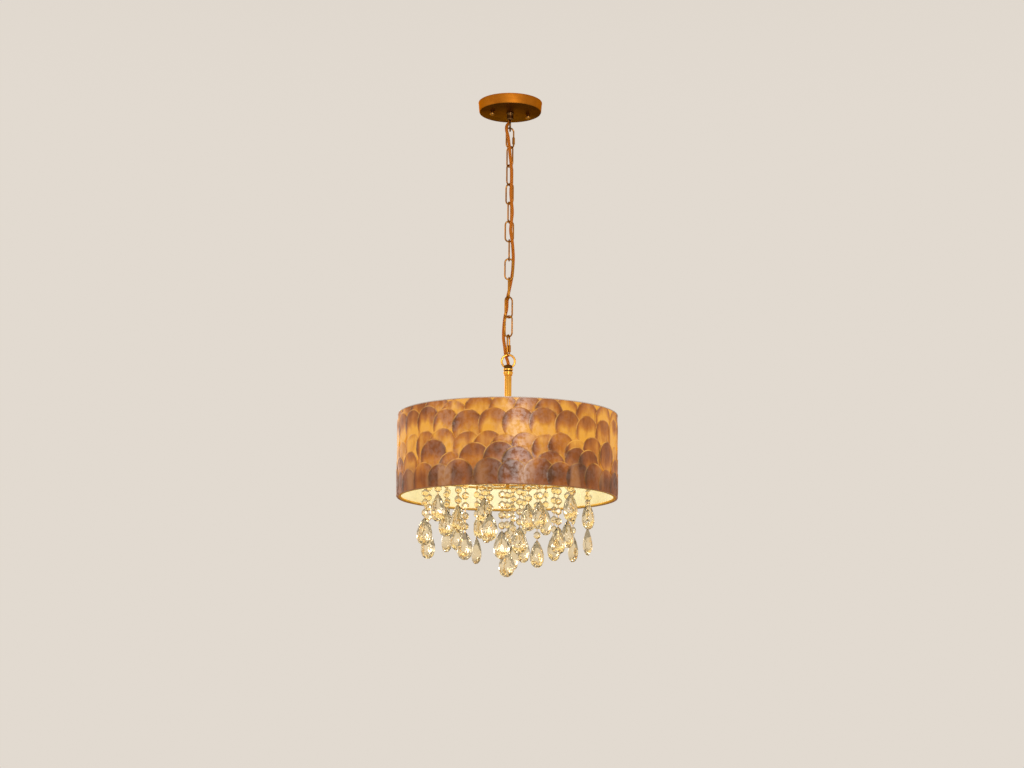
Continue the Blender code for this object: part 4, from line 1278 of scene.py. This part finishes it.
def trimmed(mesh):
    """The flat wall of discs, cut off level at both rims, with the cut edges closed."""
    shape = bmesh.new()
    shape.from_mesh(mesh)
    for height, way in ((RIM_HEIGHT, -1), (SHADE_HEIGHT - RIM_HEIGHT, 1)):
        everything = [*shape.verts, *shape.edges, *shape.faces]
        bmesh.ops.bisect_plane(shape, geom=everything, plane_co=(0, height, 0),
                               plane_no=(0, way, 0), clear_outer=True)
    loose = [edge for edge in shape.edges if edge.is_boundary]
    bmesh.ops.holes_fill(shape, edges=loose, sides=0)
    shape.to_mesh(mesh)
    shape.free()


def let_light_through(mesh, discs, neighbours):
    """Gives each point of the wall the share of light that passes the discs there."""
    number = [item.value for item in mesh.attributes["disc"].data]
    tones = [item.value for item in mesh.attributes["disc_tone"].data]
    light = mesh.attributes.new("light", "FLOAT", "POINT")
    for i, vertex in enumerate(mesh.vertices):
        own = number[i]
        angle, height, _ = discs[own]
        along = vertex.co.x - angle * SHEET_RADIUS
        up = vertex.co.y - height
        layers = 0.0
        for _, other_along, other_up, radius in neighbours[own]:
            inside = radius - math.hypot(other_along - along, other_up - up)
            layers += min(max(inside / SOFT_SHADOW, 0.0), 1.0)
        light.data[i].value = LIGHT_KEPT_SHARE ** layers
    for item, tone in zip(mesh.attributes["disc_local"].data, tones, strict=True):
        across, up, _ = item.vector
        item.vector = (across, up, tone)


def make_discs(shell):
    """Rows of shell discs, the lower rows over the upper ones, cut off at both rims."""
    discs = disc_list()
    neighbours = disc_neighbours(discs)
    spots = [(angle * SHEET_RADIUS, height, lift)
             for (angle, height, _), lift in zip(discs, disc_lifts(neighbours), strict=True)]
    wall = mesh_of("disc_spots", spots, [])
    sizes = wall.attributes.new("size", "FLOAT", "POINT")
    numbers = wall.attributes.new("disc", "INT", "POINT")
    for i, (_, _, size) in enumerate(discs):
        sizes.data[i].value = size
        numbers.data[i].value = i
    unit = add_object("unit_disc", shell_disc())
    mesh = run_tree("discs", wall, disc_tree(), {
        "Disc": unit, "Lean out": DISC_LEAN_OUT, "Lean aside": DISC_LEAN_ASIDE,
        "Seed": DISC_SEED, "Finish": shell,
    })
    bpy.data.objects.remove(unit)
    trimmed(mesh)
    let_light_through(mesh, discs, neighbours)
    for name in ("disc", "size", "disc_tone"):
        if name in mesh.attributes:
            mesh.attributes.remove(mesh.attributes[name])
    bend_round(mesh, SHEET_RADIUS)
    return smoothed(mesh, math.radians(50))


def make_shade(shell, amber, pale, lining, gold):
    """The drum: lit sheet, discs over it, and a cut edge at the top and the bottom."""
    finish_as("shade_shell", make_discs(shell), shell, "shade_discs")
    inner = SHADE_RADIUS - RIM_WIDTH
    outer = SHEET_RADIUS - SHEET_CLEARANCE
    top, foot = SHADE_CROWN - SHEET_INSET, SHADE_FOOT + SHEET_INSET
    outline = [(outer, top), (outer, foot), (inner, foot), (inner, top)]
    sheet = smoothed(turned("backing", outline, 192))
    finish_as("shade_shell", sheet, amber, "shade_backing", False)
    for name, top, out, material in (
        ("shade_top_rim", SHADE_CROWN, TOP_RIM_OUT, pale),
        ("shade_foot_rim", SHADE_FOOT + RIM_HEIGHT, 0.0, amber),
    ):
        outer = inner + RIM_WIDTH + out
        outline = [(outer, top), (outer, top - RIM_HEIGHT), (inner, top - RIM_HEIGHT), (inner, top)]
        rim = smoothed(turned(name, outline, 192, 0.00025))
        finish_as("shade_shell", rim, material, name, False)
    keep("shade_liner", lining)
    low = SHADE_FOOT + SHADE_WIRE_RADIUS
    ring = tube("foot_ring", ring_path(SHADE_RING_RADIUS, low, 144), SHADE_WIRE_RADIUS, 12, True)
    finish_as("shade_bottom_ring", smoothed(ring), gold)


# ---------------------------------------------------------------------------
# Crystal strands
# ---------------------------------------------------------------------------


def cut_stone(name, outline, middle, cuts, staggered):
    """A stone cut alike on both faces: rings of its outline drawn in towards the middle."""
    count = len(outline(0.0))
    points = []
    faces = []
    starts = []
    for side in (-1, 1):
        for level, (share, depth) in enumerate(cuts):
            shift = 0.5 if staggered and level % 2 == 0 and level else 0.0
            starts.append(len(points))
            for point in outline(shift):
                drawn = middle + (point - middle) * share
                points.append((drawn.x, side * depth, drawn.y))
    levels = len(cuts)
    for half in range(2):
        for level in range(levels - 1):
            a = starts[half * levels + level]
            b = starts[half * levels + level + 1]
            for j in range(count):
                k = (j + 1) % count
                if staggered:
                    faces.append((a + j, a + k, b + j))
                    faces.append((b + j, a + k, b + k))
                else:
                    faces.append((a + j, a + k, b + k, b + j))
        table = starts[half * levels + levels - 1]
        faces.append(tuple(table + j for j in range(count)))
    for j in range(count):
        k = (j + 1) % count
        faces.append((j, k, starts[levels] + k, starts[levels] + j))
    return tidy(mesh_of(name, points, faces))


def bead_outline(_):
    """An octagon with level sides."""
    return [Vector(point) for point in circle(BEAD_RADIUS, BEAD_SIDES, math.pi / BEAD_SIDES)]


def drop_outline(shift):
    """A pear, its tip at the top, with its middle at the origin."""
    points = []
    for j in range(DROP_SIDES):
        angle = 2 * math.pi * (j + 0.5 + shift) / DROP_SIDES
        half_width = DROP_GIRTH * math.sin(angle) * abs(math.sin(angle / 2)) ** DROP_FULLNESS
        points.append(Vector((half_width, DROP_LENGTH / 2 * math.cos(angle))))
    return points


def wire_loop(name, half_width, half_length, wire):
    """A small upright ring or staple of wire, seen edge on from the front."""
    count = 12
    straight = half_length - half_width
    path = [Vector((0, side, up + math.copysign(straight, up)))
            for side, up in circle(half_width, count, math.pi / count)]
    return tube(name, path, wire, 5, True)


def strand_tree():
    """Beads on the points of kind 0 and drops on those of kind 1, each turned a little."""
    graph, given, out = new_tree("strung_pieces", [
        ("Bead", "Object"), ("Drop", "Object"), ("Twist", "Float"), ("Seed", "Int"),
        ("Finish", "Material"),
    ])
    named = "GeometryNodeInputNamedAttribute"
    turn = graph.add(named, {"data_type": "FLOAT"}, {"Name": "turn"})
    kind = graph.add(named, {"data_type": "INT"}, {"Name": "kind"})
    twist = graph.add("FunctionNodeRandomValue", {"data_type": "FLOAT"},
                      {2: -1.0, 3: 1.0, 8: given["Seed"]}, result=1)
    angle = turn + twist * given["Twist"]
    stance = graph.add("ShaderNodeCombineXYZ", values={2: angle})
    placed = []
    for number, label in ((0, "Bead"), (1, "Drop")):
        chosen = graph.add("FunctionNodeCompare", {"data_type": "INT", "operation": "EQUAL"},
                           {2: kind, 3: number})
        piece = graph.add("GeometryNodeObjectInfo", values={"Object": given[label]}, result=4)
        placed.append(graph.add("GeometryNodeInstanceOnPoints", values={
            "Points": given["Geometry"], "Selection": chosen, "Instance": piece,
            "Rotation": stance}))
    both = graph.tree.nodes.new("GeometryNodeJoinGeometry")
    for result in placed:
        graph.tree.links.new(result.socket, both.inputs[0])
    end_tree(graph, Result(graph, both.outputs[0]), given["Finish"], out)
    return graph


def marked(name, spots):
    """A mesh of points with the turn and the kind of each."""
    mesh = mesh_of(name, [place for place, _, _ in spots], [])
    turn = mesh.attributes.new("turn", "FLOAT", "POINT")
    kind = mesh.attributes.new("kind", "INT", "POINT")
    for i, (_, angle, number) in enumerate(spots):
        turn.data[i].value = angle
        kind.data[i].value = number
    return mesh


def strand_list():
    """Every strand node, with the wire it hangs on and its columns: place, turn, beads."""
    found = []
    for label, ring, start, counts in STRAND_RINGS:
        spacing = 2 * math.pi / len(counts)
        columns = [(around(ring, start + spacing * i, FRAME_HEIGHT),
                    half_turn(start + spacing * i), beads) for i, beads in enumerate(counts)]
        if label == "outer":
            for i, column in enumerate(columns):
                found.append((f"outer_strand_{i + 1:02d}", FRAME_WIRE_RADIUS, [column]))
            continue
        for i in range(0, len(columns) - 1, 2):
            name = f"{label}_strand_pair_{i // 2 + 1}"
            found.append((name, FRAME_WIRE_RADIUS, columns[i: i + 2]))
        if len(columns) % 2:
            found.append((f"{label}_strand_single", FRAME_WIRE_RADIUS, columns[-1:]))
    eye = heights_of("frame_finial")[0] + EYE_WIRE_RADIUS
    centre = [(Vector((0, 0, eye)), 0.0, CENTRE_BEADS)]
    found.append(("centre_strand", EYE_WIRE_RADIUS, centre))
    return found


def strung(columns, wire_radius, share):
    """A strand's stones, its pins and hooks, and the ends of the tie under its hooks."""
    stones = []
    metal = []
    ties = []
    hook_drop = HOOK_RADIUS - HOOK_WIRE_RADIUS - wire_radius - HOOK_SEAT_GAP
    for place, turn, beads in columns:
        for i in range(beads):
            middle = place - Vector((0, 0, STRAND_TOP + BEAD_PITCH * (i + 0.5)))
            stones.append((middle, turn * share, 0))
            metal.append((middle + Vector((0, 0, BEAD_PITCH / 2)), turn, 0))
        bottom = place - Vector((0, 0, STRAND_TOP + BEAD_PITCH * beads))
        metal.append((bottom, turn, 0))
        stones.append((bottom - Vector((0, 0, DROP_LENGTH / 2)), turn * share, 1))
        metal.append((place - Vector((0, 0, hook_drop)), turn, 1))
        ties.append(place - Vector((0, 0, hook_drop + HOOK_RADIUS)))
    return stones, metal, ties


def make_strands(crystal, gold):
    """Each strand is one piece of stones and one of gold hooks, pins and ties."""
    tree = strand_tree()
    belly = Vector((0, DROP_LENGTH / 2 - DROP_LENGTH * DROP_BELLY))
    units = {
        "bead": cut_stone("bead", bead_outline, Vector((0, 0)), BEAD_CUTS, False),
        "drop": cut_stone("drop", drop_outline, belly, DROP_CUTS, True),
        "pin": wire_loop("pin", PIN_HALF_WIDTH, PIN_HALF_LENGTH, PIN_WIRE_RADIUS),
        "hook": wire_loop("hook", HOOK_RADIUS, HOOK_RADIUS, HOOK_WIRE_RADIUS),
    }
    units = {name: add_object("unit_" + name, mesh) for name, mesh in units.items()}
    for number, (node, wire_radius, columns) in enumerate(strand_list()):
        share = 1.0 if node in SIDEWAYS_STRANDS else STONE_TURN_SHARE
        stones, metal, ties = strung(columns, wire_radius, share)
        given = {"Bead": units["bead"], "Drop": units["drop"], "Twist": STONE_TWIST,
                 "Seed": FIRST_STRAND_SEED + number, "Finish": crystal}
        mesh = run_tree(node + "_points", marked("stones", stones), tree, given)
        finish_as(node, mesh, crystal, node + "_stones")
        given = {"Bead": units["pin"], "Drop": units["hook"], "Twist": 0.0,
                 "Seed": 0, "Finish": gold}
        mesh = run_tree(node + "_places", marked("metal", metal), tree, given)
        if len(ties) > 1:
            mesh = joined(node, [mesh, tube("tie", ties, TIE_RADIUS, 8)])
        wires = finish_as(node, smoothed(mesh, math.radians(60)), gold, node + "_pins", False)
    for unit in units.values():
        bpy.data.objects.remove(unit)


# ---------------------------------------------------------------------------
# Stage
# ---------------------------------------------------------------------------

FLOOR_HEIGHT = -2.2
FLOOR_REACH = 6.0
ROOM_WALL = (0.76, 0.70, 0.63)
ROOM_OVERHEAD = (0.40, 0.34, 0.28)
EVEN_LIGHT = (1.0, 0.97, 0.93, 1)
EVEN_STRENGTH = 0.42
# Name, place, what it points at, size, watts and colour
LAMPS = [
    ("front_light", (0.55, -2.6, -0.35), (0, 0, -0.66), 1.0, 23, (1.0, 0.97, 0.95)),
    ("left_light", (-2.2, -1.2, -0.1), (0, 0, -0.55), 1.2, 6, (1.0, 0.95, 0.90)),
    ("back_light", (-1.2, 2.2, 0.1), (0, 0, -0.5), 1.2, 10, (1.0, 0.96, 0.92)),
]
CAMERA_SENSOR = 36
CAMERA_LENS = 66.8
CAMERA_PLACE = (0.0072, -3.426, -1.181)
CAMERA_TILT = 10.62
CAMERA_ROLL = 0.43


def make_floor():
    """A plain pale floor, well below."""
    look = Look("pale_floor")
    grain = look.noise(3.0, 3.0)
    look.give("Base Color", look.blend(grain, (0.74, 0.71, 0.67), (0.78, 0.75, 0.71)))
    look.give("Roughness", grain * 0.1 + 0.8)
    corners = [(x * FLOOR_REACH, y * FLOOR_REACH, FLOOR_HEIGHT)
               for x, y in ((-1, -1), (1, -1), (1, 1), (-1, 1))]
    floor = add_object("floor", mesh_of("floor", corners, [(0, 1, 2, 3)]))
    floor.data.materials.append(look.material)


def make_world():
    """A pale room that camera, metal and glass see, and an even light from all round."""
    world = bpy.data.worlds.new("pale_room")
    world.use_nodes = True
    bpy.context.scene.world = world
    graph = Graph(world.node_tree)
    _, _, up = graph.parts(graph.add("ShaderNodeTexCoord"))
    room = graph.blend(graph.range(up, 0.30, 0.95), ROOM_WALL, ROOM_OVERHEAD)
    seen = graph.add("ShaderNodeBackground", values={"Color": room, "Strength": 1.0})
    lit = graph.add("ShaderNodeBackground", values={"Color": EVEN_LIGHT, "Strength": EVEN_STRENGTH})
    path = graph.add("ShaderNodeLightPath").socket.node
    rays = {out.name: Result(graph, out) for out in path.outputs}
    shown = rays["Is Camera Ray"].maths("MAXIMUM", rays["Is Glossy Ray"])
    shown = shown.maths("MAXIMUM", rays["Is Transmission Ray"])
    mixed = graph.add("ShaderNodeMixShader", values={0: shown, 1: lit, 2: seen})
    graph.feed(world.node_tree.nodes["World Output"].inputs["Surface"], mixed)


def add_lamp(name, place, target, size, watts, colour):
    """A square area lamp, pointed at a target."""
    light = bpy.data.lights.new(name, "AREA")
    light.size = size
    light.energy = watts
    light.color = colour
    obj = bpy.data.objects.new(name, light)
    bpy.context.scene.collection.objects.link(obj)
    obj.location = place
    way = Vector(target) - Vector(place)
    obj.rotation_euler = way.to_track_quat("-Z", "Y").to_euler()


def make_camera():
    """The photograph's view, from a little below the shade."""
    data = bpy.data.cameras.new("camera")
    data.sensor_width = CAMERA_SENSOR
    data.lens = CAMERA_LENS
    camera = bpy.data.objects.new("camera", data)
    bpy.context.scene.collection.objects.link(camera)
    tilt = Matrix.Rotation(math.radians(90 + CAMERA_TILT), 4, "X")
    roll = Matrix.Rotation(math.radians(CAMERA_ROLL), 4, "Z")
    camera.matrix_world = Matrix.Translation(CAMERA_PLACE) @ tilt @ roll
    bpy.context.scene.camera = camera


# ---------------------------------------------------------------------------
# The whole light
# ---------------------------------------------------------------------------

canopy_gold = canopy_look()
loop_bronze = brass_look("old_bronze", (0.20, 0.105, 0.035), (0.10, 0.05, 0.018), 0.34)
# darkened gold: painted shade for the dark surroundings that the chain mirrors
chain_gold = brass_look("chain_gold", (0.52, 0.225, 0.034), (0.25, 0.098, 0.014), 0.17, FINE)
# a darker copy of the gold: painted shade on the canopy screws
screw_gold = brass_look("screw_gold", (0.44, 0.205, 0.045), (0.28, 0.12, 0.024), 0.26, FINE)
stem_gold = brass_look("stem_gold", *STEM_FINISH)
# painted shade on the collar's neck and in its groove
collar_gold = brass_look("collar_gold", *STEM_FINISH, collar_painted_shade)
frame_gold = brass_look("satin_gold", (0.80, 0.47, 0.10), (0.58, 0.31, 0.06), 0.32)
# a brighter copy of the satin gold: painted lamplight on the crystal frame and the shade's foot
# ring
ring_gold = brass_look("ring_gold", (0.96, 0.66, 0.20), (0.84, 0.50, 0.12), 0.34)
pin_gold = brass_look("pin_gold", (0.88, 0.56, 0.17), (0.58, 0.32, 0.08), 0.2, FINE)
zinc = steel_look()
crystal_glass = crystal_look()
cream_lining = lining_look()

keep("ceiling_bracket", zinc)
keep("canopy_nipple", zinc)
keep("spider_nut", frame_gold)
make_canopy(canopy_gold)
make_canopy_screws(screw_gold)
make_canopy_loop(loop_bronze)
make_chain(chain_gold)
make_sleeves(chain_gold)
make_cord(cord_look())
make_stem_loop(collar_gold)
make_stem(stem_gold)
make_spider(frame_gold)
make_cluster(frame_gold)
make_lamps(socket_look(), bulb_look())
make_crystal_frame(ring_gold)
make_finial(frame_gold)
make_shade(capiz_look(), sheet_look(), top_rim_look(), cream_lining, ring_gold)
make_strands(crystal_glass, pin_gold)

make_floor()
make_world()
for lamp in LAMPS:
    add_lamp(*lamp)
make_camera()
bpy.context.scene.view_settings.view_transform = "Standard"
